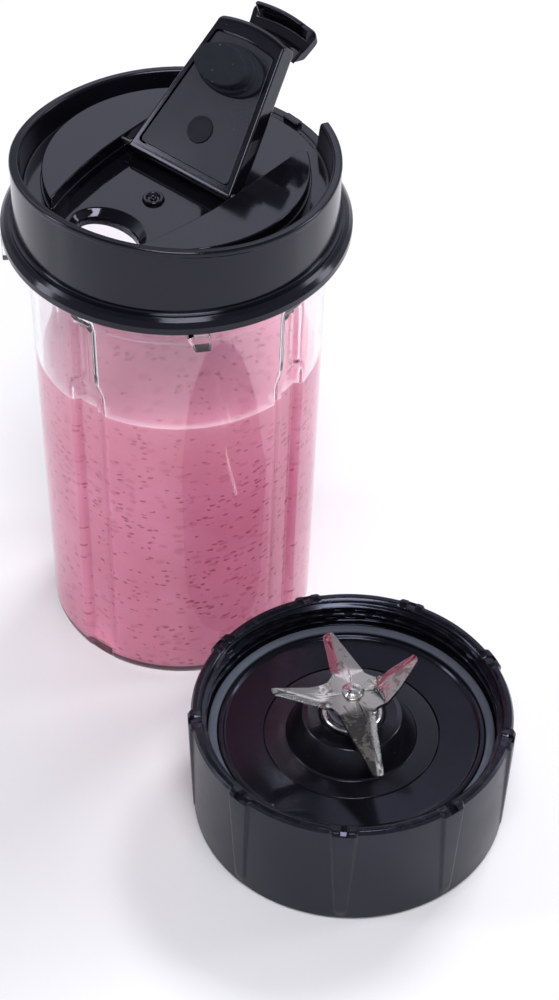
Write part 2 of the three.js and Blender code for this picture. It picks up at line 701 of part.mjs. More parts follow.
// The flip cap stands open by HINGE.open degrees from closed.
function flipCapGroup() {
  const tilt = new THREE.Group();
  tilt.rotation.y = -(180 - HINGE.open) * DEG;
  tilt.add(
    piece("flip_cap", flipCap(), GLOSS_BLACK),
    piece("flip_cap_panel", capPanel(), SATIN_BLACK),
    piece("spout_stopper", spoutStopper(), STOPPER_RUBBER),
    piece("vent_plug", ventPlug(), STOPPER_RUBBER),
  );
  const group = new THREE.Group();
  const [x, y] = onCircle(HINGE.u, LID_TURN);
  group.position.set(x, y, HINGE.z);
  group.rotation.z = LID_TURN * DEG;
  group.add(tilt);
  return group;
}

function bladeBaseGroup() {
  const group = new THREE.Group();
  group.position.set(BASE.x, BASE.y, 0);
  group.add(
    piece("base_housing", housing(), GLOSS_BLACK),
    piece("base_gasket", baseGasket(), SILICONE),
    piece("blade_hub", hubRing(), GLOSS_BLACK),
    piece("hub_o_ring", oRing(), DARK_SILICONE),
    piece("hub_nut", hubNut(), NYLON),
    piece("upper_bushing", upperBushing(), BRIGHT_STEEL),
    piece("bearing_spacer", bearingSpacer(), STEEL),
    piece("lower_bushing", lowerBushing(), BRONZE),
    piece("shaft_seal", shaftSeal(), DARK_SILICONE),
    piece("drive_shaft", driveShaft(), BRIGHT_STEEL),
    piece("blade_spacer", bladeSpacer(), STEEL),
    piece("blade_set", bladeSet(), STEEL),
    piece("thrust_washer", thrustWasher(), NYLON),
    piece("retaining_clip", retainingClip(), STEEL),
    piece("drive_coupling", driveCoupling(), NYLON),
  );
  return group;
}

const set = new THREE.Group();
set.add(cupGroup(), lidGroup(), flipCapGroup(), bladeBaseGroup());
export default set;
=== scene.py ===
# A personal-blender cup set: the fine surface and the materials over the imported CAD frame.
# Shapes are written in millimetres in the row frame and become metres when the mesh is made.
import math

import bmesh
import bpy
import numpy as np
from mathutils import Matrix, Vector


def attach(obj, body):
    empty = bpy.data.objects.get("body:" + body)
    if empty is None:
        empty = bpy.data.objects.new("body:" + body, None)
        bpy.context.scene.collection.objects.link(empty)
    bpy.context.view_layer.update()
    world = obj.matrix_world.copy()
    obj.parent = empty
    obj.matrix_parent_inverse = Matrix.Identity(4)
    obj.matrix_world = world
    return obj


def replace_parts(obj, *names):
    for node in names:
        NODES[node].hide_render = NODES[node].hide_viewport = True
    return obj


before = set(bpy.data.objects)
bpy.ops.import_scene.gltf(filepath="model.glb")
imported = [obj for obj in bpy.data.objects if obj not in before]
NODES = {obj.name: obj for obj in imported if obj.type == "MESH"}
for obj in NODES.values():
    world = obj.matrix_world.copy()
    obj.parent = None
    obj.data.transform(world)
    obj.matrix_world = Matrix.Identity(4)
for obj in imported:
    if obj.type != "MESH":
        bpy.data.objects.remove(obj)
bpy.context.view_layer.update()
MM = 0.001
TAU = 2 * math.pi


# ---------- camera, world, lights, floor ----------
def add_camera():
    pitch, yaw, roll = 0.7629, -0.0606, 0.0269
    forward = Vector((-math.sin(yaw) * math.cos(pitch), math.cos(yaw) * math.cos(pitch), -math.sin(pitch)))
    right = Vector((math.cos(yaw), math.sin(yaw), 0))
    up = right.cross(forward)
    side = math.cos(roll) * right + math.sin(roll) * up
    top = -math.sin(roll) * right + math.cos(roll) * up
    data = bpy.data.cameras.new("camera")
    data.sensor_width = 36
    data.lens = 101.97
    data.shift_x = -0.02575
    data.shift_y = -0.00035
    camera = bpy.data.objects.new("camera", data)
    turn = Matrix((side, top, -forward)).transposed().to_4x4()
    camera.matrix_world = Matrix.Translation((0, -0.6198, 0.6299)) @ turn
    bpy.context.scene.collection.objects.link(camera)
    bpy.context.scene.camera = camera


def add_world():
    """A dim room, dark overhead, with a bright screen at the back and a pale band at the horizon."""
    world = bpy.data.worlds.new("studio")
    world.use_nodes = True
    n = Nodes(world, "Generated")

    def levels(axis, stops):
        tinted = [(at, (level * 0.95, level * 0.955, min(1.0, level * 1.06))) for at, level in stops]
        return n.ramp(n.axis(axis), tinted)

    sides = levels("Z", [(0.0, 0.42), (0.14, 0.36), (0.30, 0.22), (0.66, 0.20), (0.88, 0.035)])
    screen = levels("Z", [(0.0, 0.42), (0.14, 0.34), (0.30, 0.22), (0.44, 0.26), (0.55, 0.86),
                          (0.69, 0.86), (0.75, 0.29), (0.90, 0.035)])
    back = levels("Y", [(0.30, 0.0), (0.55, 1.0)])
    background = n.tree.nodes["Background"]
    n.link(n.mix(back, sides, screen), background.inputs["Color"])
    background.inputs["Strength"].default_value = 1.5
    bpy.context.scene.world = world


def add_light(name, at, aim, size, power, tint=(1, 1, 1), mirrored=True):
    data = bpy.data.lights.new(name, "AREA")
    data.shape = "RECTANGLE"
    data.size, data.size_y = size
    data.energy = power
    data.color = tint
    lamp = bpy.data.objects.new(name, data)
    lamp.location = at
    lamp.rotation_euler = (Vector(aim) - Vector(at)).to_track_quat("-Z", "Y").to_euler()
    lamp.visible_glossy = mirrored
    bpy.context.scene.collection.objects.link(lamp)


def add_lights():
    floor_middle = (0.02, -0.03, 0)
    box, cool = (0.60, 0.40), (0.97, 0.98, 1)
    add_light("softbox_high", (0.08, -0.45, 1.50), floor_middle, box, 9.0)
    add_light("softbox_front", (0.10, -1.05, 1.35), floor_middle, box, 6.0)
    add_light("softbox_left", (-1.25, -0.1, 0.55), (0, -0.04, 0.08), (0.25, 0.9), 4.0, cool)
    add_light("softbox_right", (1.2, 0.15, 0.6), (0.03, -0.04, 0.08), (0.25, 0.8), 3.0, cool)
    add_light("softbox_back", (0.75, 0.95, 1.45), (0.0, -0.03, 0), box, 15.0, mirrored=False)


def add_floor():
    mesh = bpy.data.meshes.new("floor")
    edge = 4.0
    corners = [(-edge, -edge, 0), (edge, -edge, 0), (edge, edge, 0), (-edge, edge, 0)]
    mesh.from_pydata(corners, [], [(0, 1, 2, 3)])
    floor = bpy.data.objects.new("floor", mesh)
    floor.location.z = -0.0004
    bpy.context.scene.collection.objects.link(floor)
    mesh.materials.append(plain("floor_white", (0.86, 0.86, 0.885), 0.22, Specular_IOR_Level=0.35))


# ---------- node helpers ----------
def plain(name, colour, roughness, metallic=0.0, **sockets):
    """A Principled material. Further sockets are given by name, with _ for each space."""
    mat = bpy.data.materials.new(name)
    mat.use_nodes = True
    shader = mat.node_tree.nodes["Principled BSDF"]
    values = {"Base_Color": (*colour, 1), "Roughness": roughness, "Metallic": metallic, **sockets}
    for key, value in values.items():
        shader.inputs[key.replace("_", " ")].default_value = value
    return mat


class Nodes:
    """Short names for the node calls that the materials and the world use."""

    def __init__(self, owner, place="Object"):
        self.tree = owner.node_tree
        self.shader = self.tree.nodes.get("Principled BSDF")
        self.where = self.tree.nodes.new("ShaderNodeTexCoord").outputs[place]

    def link(self, a, b):
        self.tree.links.new(a, b)

    def feed(self, name, value):
        self.link(value, self.shader.inputs[name])

    def stretch(self, scale, source=None):
        node = self.tree.nodes.new("ShaderNodeMapping")
        node.inputs["Scale"].default_value = scale
        self.link(source or self.where, node.inputs["Vector"])
        return node.outputs["Vector"]

    def noise(self, scale, detail=3.0, rough=0.55, source=None, distortion=0.0):
        node = self.tree.nodes.new("ShaderNodeTexNoise")
        node.inputs["Scale"].default_value = scale
        node.inputs["Detail"].default_value = detail
        node.inputs["Roughness"].default_value = rough
        node.inputs["Distortion"].default_value = distortion
        self.link(source or self.where, node.inputs["Vector"])
        return node.outputs["Fac"]

    def cells(self, scale, source=None, output="Distance"):
        node = self.tree.nodes.new("ShaderNodeTexVoronoi")
        node.inputs["Scale"].default_value = scale
        self.link(source or self.where, node.inputs["Vector"])
        return node.outputs[output]

    def ramp(self, value, stops):
        """stops: (position, grey level or colour)."""
        node = self.tree.nodes.new("ShaderNodeValToRGB")
        ramp = node.color_ramp
        while len(ramp.elements) < len(stops):
            ramp.elements.new(0.5)
        for element, (position, colour) in zip(ramp.elements, stops):
            element.position = position
            element.color = (*colour, 1) if hasattr(colour, "__len__") else (colour, colour, colour, 1)
        self.link(value, node.inputs["Fac"])
        return node.outputs["Color"]

    def span(self, value, low, high, to_low, to_high):
        node = self.tree.nodes.new("ShaderNodeMapRange")
        for key, number in zip(("From Min", "From Max", "To Min", "To Max"), (low, high, to_low, to_high)):
            node.inputs[key].default_value = number
        self.link(value, node.inputs["Value"])
        return node.outputs["Result"]

    def put(self, value, socket):
        """Links value to the socket, or sets it there as a number or colour."""
        if hasattr(value, "is_output"):
            self.link(value, socket)
        else:
            socket.default_value = (*value, 1) if hasattr(value, "__len__") else value

    def maths(self, kind, a, b=0.5):
        node = self.tree.nodes.new("ShaderNodeMath")
        node.operation = kind
        self.put(a, node.inputs[0])
        self.put(b, node.inputs[1])
        return node.outputs["Value"]

    def times(self, a, b):
        return self.maths("MULTIPLY", a, b)

    def mix(self, factor, a, b, kind="MIX"):
        node = self.tree.nodes.new("ShaderNodeMix")
        node.data_type = "RGBA"
        node.blend_type = kind
        for index, value in ((0, factor), (6, a), (7, b)):
            self.put(value, node.inputs[index])
        return node.outputs[2]

    def axis(self, name, source=None):
        node = self.tree.nodes.new("ShaderNodeSeparateXYZ")
        self.link(source or self.where, node.inputs[0])
        return node.outputs[name]

    def attribute(self, name):
        node = self.tree.nodes.new("ShaderNodeAttribute")
        node.attribute_name = name
        return node.outputs["Fac"]

    def bump(self, height, strength, distance, normal=None):
        node = self.tree.nodes.new("ShaderNodeBump")
        node.inputs["Strength"].default_value = strength
        node.inputs["Distance"].default_value = distance
        self.link(height, node.inputs["Height"])
        if normal is not None:
            self.link(normal, node.inputs["Normal"])
        return node.outputs["Normal"]

    def random_cells(self, scale, share, size, source=None, core=None, axis="X"):
        """1 inside small dots, one in a share of the cells, 0 elsewhere."""
        colour = self.cells(scale, source, "Color")
        picked = self.maths("LESS_THAN", self.axis(axis, colour), share)
        near = self.span(self.cells(scale, source), core or size * 0.6, size, 1, 0)
        return self.times(picked, near)


# ---------- materials ----------
COOL = (0.80, 0.79, 1.0, 1)  # black plastic mirrors the room with a lilac cast


def moulded(name, colour, rough, spread, grain, dust=0.03, scratch=0.0, level=0.5):
    """Moulded plastic: uneven polish, a fine grain, dust specks and hairline scratches."""
    mat = plain(name, colour, rough, Specular_IOR_Level=level, Specular_Tint=COOL)
    n = Nodes(mat)
    cloud = n.noise(55, 5, 0.6)
    fine = n.noise(900, 2, 0.6)
    rough_out = n.span(cloud, 0.3, 0.7, rough - spread, rough + spread)
    specks = n.random_cells(700, dust, 0.10)
    base = n.mix(n.span(cloud, 0.35, 0.75, 0, 0.35), colour, tuple(c * 1.6 + 0.002 for c in colour))
    base = n.mix(n.times(specks, 0.40), base, (0.12, 0.12, 0.14))
    if scratch:
        lines = n.noise(60, 6, 0.7, n.stretch((1, 14, 3)), 1.2)
        marks = n.ramp(lines, [(0.0, 0), (0.68, 0), (0.72, 1), (0.75, 0)])
        base = n.mix(n.times(marks, scratch), base, (0.09, 0.09, 0.10))
        rough_out = n.maths("ADD", rough_out, n.times(marks, 0.25))
    n.feed("Base Color", base)
    n.feed("Roughness", n.maths("ADD", rough_out, n.times(specks, 0.3)))
    n.feed("Normal", n.bump(fine, grain, 0.00006))
    return mat


def rubber(name, colour, grain, dust):
    mat = plain(name, colour, 0.72, Specular_IOR_Level=0.28)
    n = Nodes(mat)
    specks = n.random_cells(900, dust, 0.16)
    cloud = n.noise(220, 5, 0.65)
    base = n.mix(cloud, tuple(c * 0.75 for c in colour), tuple(c * 1.3 for c in colour))
    base = n.mix(n.times(specks, 0.5), base, (0.30, 0.31, 0.33))
    n.feed("Base Color", base)
    n.feed("Roughness", n.span(cloud, 0.3, 0.7, 0.62, 0.85))
    n.feed("Normal", n.bump(n.noise(1500, 3, 0.6), grain, 0.00008))
    return mat


def clear_plastic():
    mat = plain("clear_copolyester", (0.985, 0.98, 0.995), 0.015, Transmission_Weight=1.0, IOR=1.5,
                Specular_IOR_Level=1.0)
    n = Nodes(mat)
    wipe = n.noise(70, 4, 0.6, n.stretch((1, 1, 0.25)))
    n.feed("Roughness", n.span(wipe, 0.45, 0.8, 0.01, 0.035))
    n.feed("Normal", n.bump(n.noise(38, 2, 0.5, n.stretch((1, 1, 0.35))), 0.05, 0.0006))
    return mat


def smoothie_look():
    """Blended berries: a pink body with maroon seeds and skins, paler where foam has gathered."""
    mat = plain("berry_smoothie", (0.5, 0.16, 0.21), 0.35, Subsurface_Weight=0.25, Subsurface_Scale=0.0025,
                Subsurface_Radius=(1.0, 0.35, 0.35))
    n = Nodes(mat)
    cloud = n.noise(28, 5, 0.55)
    base = n.mix(n.span(cloud, 0.35, 0.7, 0, 1), (0.68, 0.205, 0.330), (0.78, 0.290, 0.440))
    flat = n.stretch((1.0, 1.0, 1.9))
    wobble = n.mix(0.004, flat, n.noise(300, 2, 0.5), "ADD")
    density = n.span(n.noise(24, 2, 0.5), 0.38, 0.62, 0.35, 0.75)
    blots = n.random_cells(230, density, 0.42, wobble, 0.25)
    base = n.mix(n.times(blots, 0.30), base, (0.42, 0.070, 0.120))
    seeds = n.random_cells(420, 0.28, 0.42, wobble, 0.26, "Y")
    base = n.mix(n.times(seeds, 0.65), base, (0.30, 0.022, 0.035))
    height = n.axis("Z")
    base = n.mix(n.span(height, 0.075, 0.101, 0, 0.35), base, (0.88, 0.42, 0.52))
    foam = n.span(height, 0.1021, 0.10235, 0, 0.50)
    base = n.mix(foam, base, (0.93, 0.66, 0.74))
    n.feed("Base Color", base)
    n.feed("Normal", n.bump(n.noise(420, 3, 0.6), 0.12, 0.0003))
    return mat


def steel(name, colour, rough, stretch, stains=0.0):
    mat = plain(name, colour, rough, 1.0)
    n = Nodes(mat)
    grain = n.noise(400, 4, 0.7, n.stretch(stretch))
    cloud = n.noise(120, 5, 0.65)
    dark, pale = tuple(c * 0.8 for c in colour), tuple(min(1, c * 1.1) for c in colour)
    base = n.mix(n.span(grain, 0.3, 0.7, 0, 1), dark, pale)
    rough_out = n.span(grain, 0.3, 0.7, rough - 0.08, rough + 0.1)
    if stains:
        marks = n.ramp(n.noise(150, 7, 0.72, None, 0.6), [(0.0, 0), (0.57, 0), (0.62, 1), (1.0, 1)])
        base = n.mix(n.times(marks, stains), base, (0.16, 0.135, 0.11))
        rough_out = n.maths("ADD", rough_out, n.times(marks, 0.22))
    base = n.mix(n.span(cloud, 0.4, 0.7, 0, 0.25), base, tuple(c * 0.6 for c in colour))
    n.feed("Base Color", base)
    n.feed("Roughness", rough_out)
    n.feed("Normal", n.bump(grain, 0.12, 0.00006))
    return mat


def blade_look():
    """Stamped stainless steel: stains and scratches, and a ground strip at each edge with cross strokes,
    coloured with painted highlight and painted shade alternating along its teeth.
    """
    mat = plain("blade_steel", (0.60, 0.57, 0.55), 0.3, 1.0)
    n = Nodes(mat)
    grain = n.noise(500, 5, 0.75, n.stretch((1, 5, 1)), 0.5)
    stain = n.ramp(n.noise(170, 7, 0.72, None, 0.8), [(0.0, 0), (0.54, 0), (0.585, 1), (0.70, 0.7), (1.0, 1)])
    warm = n.noise(75, 4, 0.6)
    base = n.mix(warm, (0.40, 0.385, 0.375), (0.58, 0.55, 0.53))
    base = n.mix(n.times(stain, 0.65), base, (0.10, 0.085, 0.07))
    lines = n.noise(90, 6, 0.7, n.stretch((12, 1.5, 1)), 1.0)
    marks = n.ramp(lines, [(0.0, 0), (0.62, 0), (0.66, 1), (0.70, 0)])
    base = n.mix(n.times(marks, 0.4), base, (0.66, 0.64, 0.62))
    ground = n.span(n.attribute("ground"), 0.35, 0.65, 0, 1)
    strokes_and_glints = n.span(n.attribute("stroke_and_glint"), 0.3, 0.7, 0, 1)
    # Within the ground strip the colour swings from dark to bright with each tooth: painted shade and painted
    # highlight of the tooth facets. The same strokes also give a real bump below.
    strip = n.mix(strokes_and_glints, (0.22, 0.215, 0.21), (0.70, 0.69, 0.68))
    base = n.mix(ground, base, strip)
    n.feed("Base Color", base)
    rough = n.span(grain, 0.3, 0.7, 0.12, 0.22)
    rough = n.maths("ADD", rough, n.times(stain, 0.2))
    n.feed("Roughness", rough)
    height = n.maths("ADD", grain, n.times(n.times(ground, strokes_and_glints), 2.0))
    n.feed("Normal", n.bump(height, 0.04, 0.0001))
    return mat


def scuffed(name):
    """The base's gloss black, with pale scuffs and nicks along its raised rim."""
    mat = plain(name, (0.011, 0.011, 0.015), 0.16, Specular_IOR_Level=0.42,
                Specular_Tint=(0.66, 0.70, 1.0, 1))
    n = Nodes(mat)
    cloud = n.noise(60, 5, 0.6)
    specks = n.random_cells(700, 0.035, 0.10)
    rim = n.span(n.axis("Z"), 0.0365, 0.0376, 0, 1)
    wear = n.ramp(n.noise(260, 6, 0.7, None, 0.4), [(0.0, 0), (0.50, 0), (0.60, 1), (1.0, 1)])
    worn = n.times(rim, wear)
    base = n.mix(n.span(cloud, 0.35, 0.75, 0, 0.4), (0.004, 0.004, 0.006), (0.007, 0.007, 0.010))
    base = n.mix(n.times(specks, 0.35), base, (0.12, 0.12, 0.14))
    base = n.mix(n.times(worn, 0.06), base, (0.10, 0.10, 0.12))
    n.feed("Base Color", base)
    satin = n.span(n.attribute("satin"), 0, 1, 0.13, 0.34)
    rough = n.maths("ADD", satin, n.span(cloud, 0.3, 0.7, -0.03, 0.05))
    n.feed("Roughness", n.maths("ADD", rough, n.times(worn, 0.05)))
    grain = n.bump(n.noise(900, 2, 0.6), 0.05, 0.00006)
    knocks = n.times(rim, n.noise(420, 5, 0.7))
    n.feed("Normal", n.bump(knocks, 0.08, 0.0003, grain))
    return mat


# ---------- mesh helpers ----------
def fillet(points, steps=4, closed=True):
    """[x, y, radius] points with each corner rounded to its radius. Returns [x, y] points."""
    out = []
    count = len(points)
    for i, (x, y, r) in enumerate(points):
        ends = not closed and i in (0, count - 1)
        here = np.array((x, y), float)
        if r <= 0 or ends:
            out.append(here)
            continue
        a = np.array(points[i - 1][:2], float) - here
        b = np.array(points[(i + 1) % count][:2], float) - here
        la, lb = np.linalg.norm(a), np.linalg.norm(b)
        a, b = a / la, b / lb
        half = math.acos(max(-1, min(1, float(a @ b)))) / 2
        if half > 1.55:
            out.append(here)
            continue
        back = min(r / math.tan(half), la * 0.49, lb * 0.49)
        radius = back * math.tan(half)
        middle = here + (a + b) / np.linalg.norm(a + b) * (radius / math.sin(half))
        start, end = here + a * back - middle, here + b * back - middle
        turn = math.atan2(start[0] * end[1] - start[1] * end[0], float(start @ end))
        for k in range(steps + 1):
            c, s = math.cos(turn * k / steps), math.sin(turn * k / steps)
            out.append(middle + np.array((start[0] * c - start[1] * s, start[0] * s + start[1] * c)))
    return np.array(out)


def loft(name, rings, body, mats, wrap=False, caps=(False, False), weld=True, attributes=None):
    """rings: array (rows, columns, 3) in mm, each row a closed ring. wrap joins the last row to the first."""
    rings = np.asarray(rings, float)
    rows, columns = rings.shape[:2]
    index = np.arange(rows * columns).reshape(rows, columns)
    nxt = np.roll(index, -1, axis=1)
    low = index if wrap else index[:-1]
    low_next = nxt if wrap else nxt[:-1]
    high = np.roll(index, -1, axis=0) if wrap else index[1:]
    high_next = np.roll(nxt, -1, axis=0) if wrap else nxt[1:]
    faces = np.stack([low, low_next, high_next, high], -1).reshape(-1, 4).tolist()
    if caps[0]:
        faces.append(index[0][::-1].tolist())
    if caps[1]:
        faces.append(index[-1].tolist())
    mesh = bpy.data.meshes.new(name)
    mesh.from_pydata((rings.reshape(-1, 3) * MM).tolist(), [], faces)
    for key, values in (attributes or {}).items():
        layer = mesh.attributes.new(key, "FLOAT", "POINT")
        layer.data.foreach_set("value", np.asarray(values, np.float32).ravel())
    return dress(name, mesh, body, mats, weld)


def dress(name, mesh, body, mats, weld=True):
    work = bmesh.new()
    work.from_mesh(mesh)
    if weld:
        bmesh.ops.remove_doubles(work, verts=work.verts, dist=2e-6)
        bmesh.ops.dissolve_degenerate(work, edges=work.edges, dist=1e-7)
    bmesh.ops.recalc_face_normals(work, faces=work.faces)
    work.to_mesh(mesh)
    work.free()
    for mat in mats if isinstance(mats, (list, tuple)) else [mats]:
        mesh.materials.append(mat)
    obj = bpy.data.objects.new(name, mesh)
    bpy.context.scene.collection.objects.link(obj)
    shade(mesh, 50)
    smooth = obj.modifiers.new("normals", "WEIGHTED_NORMAL")
    smooth.keep_sharp = True
    smooth.weight = 60
    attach(obj, body)
    return obj


def stand_in(piece, node):
    """Hides the CAD node that piece stands in for."""
    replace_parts(piece, node)


def shade(mesh, degrees):
    """Smooth shading, with the edges that turn by more than this many degrees kept sharp."""
    mesh.polygons.foreach_set("use_smooth", [True] * len(mesh.polygons))
    work = bmesh.new()
    work.from_mesh(mesh)
    limit = math.radians(degrees)
    for edge in work.edges:
        edge.smooth = not (len(edge.link_faces) == 2 and edge.calc_face_angle(0) > limit)
    work.to_mesh(mesh)
    work.free()


def columns_for(count, marks=(), reach=0.0, step=0.01):
    """Angles round a full turn, with closer ones within reach of each mark, in radians."""
    angles = set(np.round(np.linspace(0, TAU, count, endpoint=False), 6))
    for mark in marks:
        angles = {a for a in angles if abs((a - mark + math.pi) % TAU - math.pi) > reach}
    for mark in marks:
        close = np.arange(-reach, reach + step / 2, step)
        angles |= set(np.round((mark + close) % TAU, 6))
    return np.array(sorted(angles))


def revolve(name, profile, body, mats, columns=128, centre=(0, 0), change=None, wrap=True, attribute=None):
    """A profile of [r, z] points turned about an upright axis. change(R, Z, T) may move its points."""
    angles = columns if isinstance(columns, np.ndarray) else columns_for(columns)
    profile = np.asarray(profile, float)
    r = np.repeat(profile[:, :1], len(angles), 1)
    z = np.repeat(profile[:, 1:2], len(angles), 1)
    t = np.repeat(angles[None], len(profile), 0)
    extra = {}
    if change:
        r, z = change(r, z, t)
    if attribute:
        extra[attribute[0]] = np.repeat(np.asarray(attribute[1], float)[:, None], len(angles), 1)
    rings = np.stack([centre[0] + r * np.cos(t), centre[1] + r * np.sin(t), z], -1)
    return loft(name, rings, body, mats, wrap=wrap, attributes=extra)


def smoothstep(low, high, x):
    t = np.clip((x - low) / (high - low), 0, 1)
    return t * t * (3 - 2 * t)


def arc_points(cx, cy, r, start, end, steps):
    angles = np.radians(np.linspace(start, end, steps + 1))
    return np.stack([cx + r * np.cos(angles), cy + r * np.sin(angles)], 1)


def inset(outline, amount):
    """A closed [x, y] outline moved inwards by amount. It runs anticlockwise."""
    p = np.asarray(outline, float)
    before = p - np.roll(p, 1, 0)
    after = np.roll(p, -1, 0) - p
    before /= np.linalg.norm(before, axis=1)[:, None] + 1e-12
    after /= np.linalg.norm(after, axis=1)[:, None] + 1e-12
    na = np.stack([-before[:, 1], before[:, 0]], 1)
    nb = np.stack([-after[:, 1], after[:, 0]], 1)
    mean = na + nb
    mean /= np.linalg.norm(mean, axis=1)[:, None] + 1e-12
    return p + mean * (amount / np.maximum(0.5, (mean * na).sum(1)))[:, None]


def slab_rings(outline, low, high, top_r, low_r, steps=4):
    """Rings of a plate with rounded edges: [x, y, height] in its own plane."""
    rings = []
    for k in range(steps + 1):
        turn = math.radians(90 * k / steps)
        flat = inset(outline, low_r * (1 - math.sin(turn)))
        rings.append(np.column_stack([flat, np.full(len(flat), low + low_r * (1 - math.cos(turn)))]))
    for k in range(steps + 1):
        turn = math.radians(90 * k / steps)
        flat = inset(outline, top_r * (1 - math.cos(turn)))
        rings.append(np.column_stack([flat, np.full(len(flat), high - top_r * (1 - math.sin(turn)))]))
    return np.array(rings)


def resample(outline, step):
    """A closed outline with points no further apart than step."""
    out = []
    for a, b in zip(outline, np.roll(outline, -1, 0)):
        parts = max(1, int(math.ceil(np.linalg.norm(b - a) / step)))
        out += [a + (b - a) * k / parts for k in range(parts)]
    return np.array(out)


def resample_open(points, step):
    """An open line with points no further apart than step."""
    out = []
    for a, b in zip(points[:-1], points[1:]):
        parts = max(1, int(math.ceil(np.linalg.norm(b - a) / step)))
        out += [a + (b - a) * k / parts for k in range(parts)]
    return np.array(out + [points[-1]])


def merge(body, tool, operation="DIFFERENCE"):
    """Cuts tool out of body, or joins it on, for good."""
    for obj in (body, tool):
        obj.modifiers.clear()
    cut = body.modifiers.new("cut", "BOOLEAN")
    cut.object = tool
    cut.operation = operation
    cut.solver = "EXACT"
    graph = bpy.context.evaluated_depsgraph_get()
    made = bpy.data.meshes.new_from_object(body.evaluated_get(graph))
    body.modifiers.clear()
    body.data = made
    bpy.data.objects.remove(tool)
    shade(made, 50)
    smooth = body.modifiers.new("normals", "WEIGHTED_NORMAL")
    smooth.keep_sharp = True


# ---------- the lid's directions ----------
TURN = math.radians(47.4)
U = np.array((math.cos(TURN), math.sin(TURN), 0))
V = np.array((-math.sin(TURN), math.cos(TURN), 0))
UP = np.array((0, 0, 1.0))
PIN = 2.5 * U + 159.8 * UP
TILT = math.radians(180 - 135.4)
CAP_S = math.cos(TILT) * U + math.sin(TILT) * UP
CAP_H = -math.sin(TILT) * U + math.cos(TILT) * UP


def from_lid(points):
    """[u, v, z] points of the lid in the row frame."""
    p = np.asarray(points, float)
    return p[..., 0:1] * U + p[..., 1:2] * V + p[..., 2:3] * UP


def from_cap(points):
    """[s, v, h] points of the open flip cap in the row frame."""
    p = np.asarray(points, float)
    return PIN + (p[..., 0:1] - 1.05) * CAP_S + p[..., 1:2] * V + (p[..., 2:3] + 1.87) * CAP_H


# ---------- cup ----------
BASE_R, RIM_R, SHOULDER_Z = 39.0, 42.06, 142.9
FLUTE_TURNS = [math.radians(50 + 90 * k) for k in range(4)]
FLUTE_DEPTH, WALL = 2.1, 2.0
WIDE_HALF, NARROW_HALF = 4.0, 2.25  # a flute is wide below its arch and narrow above it
ARCH_Z, ARCH_RISE = 112.5, 5.0
THREAD_PITCH, THREAD_LEAD, THREAD_Z = 3.2, 6.4, 145.1
LEVEL_Z = 102.5
CORNER = (34.7, 5.6, 2.4)  # the inner bottom corner: centre and radius


def cone_r(z):
    return BASE_R + (RIM_R - BASE_R) * z / SHOULDER_Z


def flute_share(r, z, t, grow, soft):
    """1 in a flute's channel, 0 outside it."""
    share = np.zeros_like(r)
    arch = np.sin(math.pi / 2 * np.clip((ARCH_Z - z) / ARCH_RISE, 0, 1))
    half = NARROW_HALF + (WIDE_HALF - NARROW_HALF) * arch + grow
    for mark in FLUTE_TURNS:
        away = np.abs((t - mark + math.pi) % TAU - math.pi) * np.maximum(r, 1)
        share = np.maximum(share, np.clip((half + soft - away) / (2 * soft), 0, 1))
    share = share * share * (3 - 2 * share)
    return share * np.clip((134.4 - z) / 1.6, 0, 1) * np.clip((z - 1.2) / 2.2, 0, 1)


def thread_lift(z, t, low, high, start_z):
    """The height, 0 to 1, of a trapezoid thread at each point."""
    phase = (z - start_z - THREAD_LEAD * t / TAU) % THREAD_PITCH
    away = np.minimum(phase, THREAD_PITCH - phase)
    ridge = np.clip((0.75 - away) / 0.4, 0, 1)
    return ridge * np.clip((z - low) / 0.8, 0, 1) * np.clip((high - z) / 0.8, 0, 1)


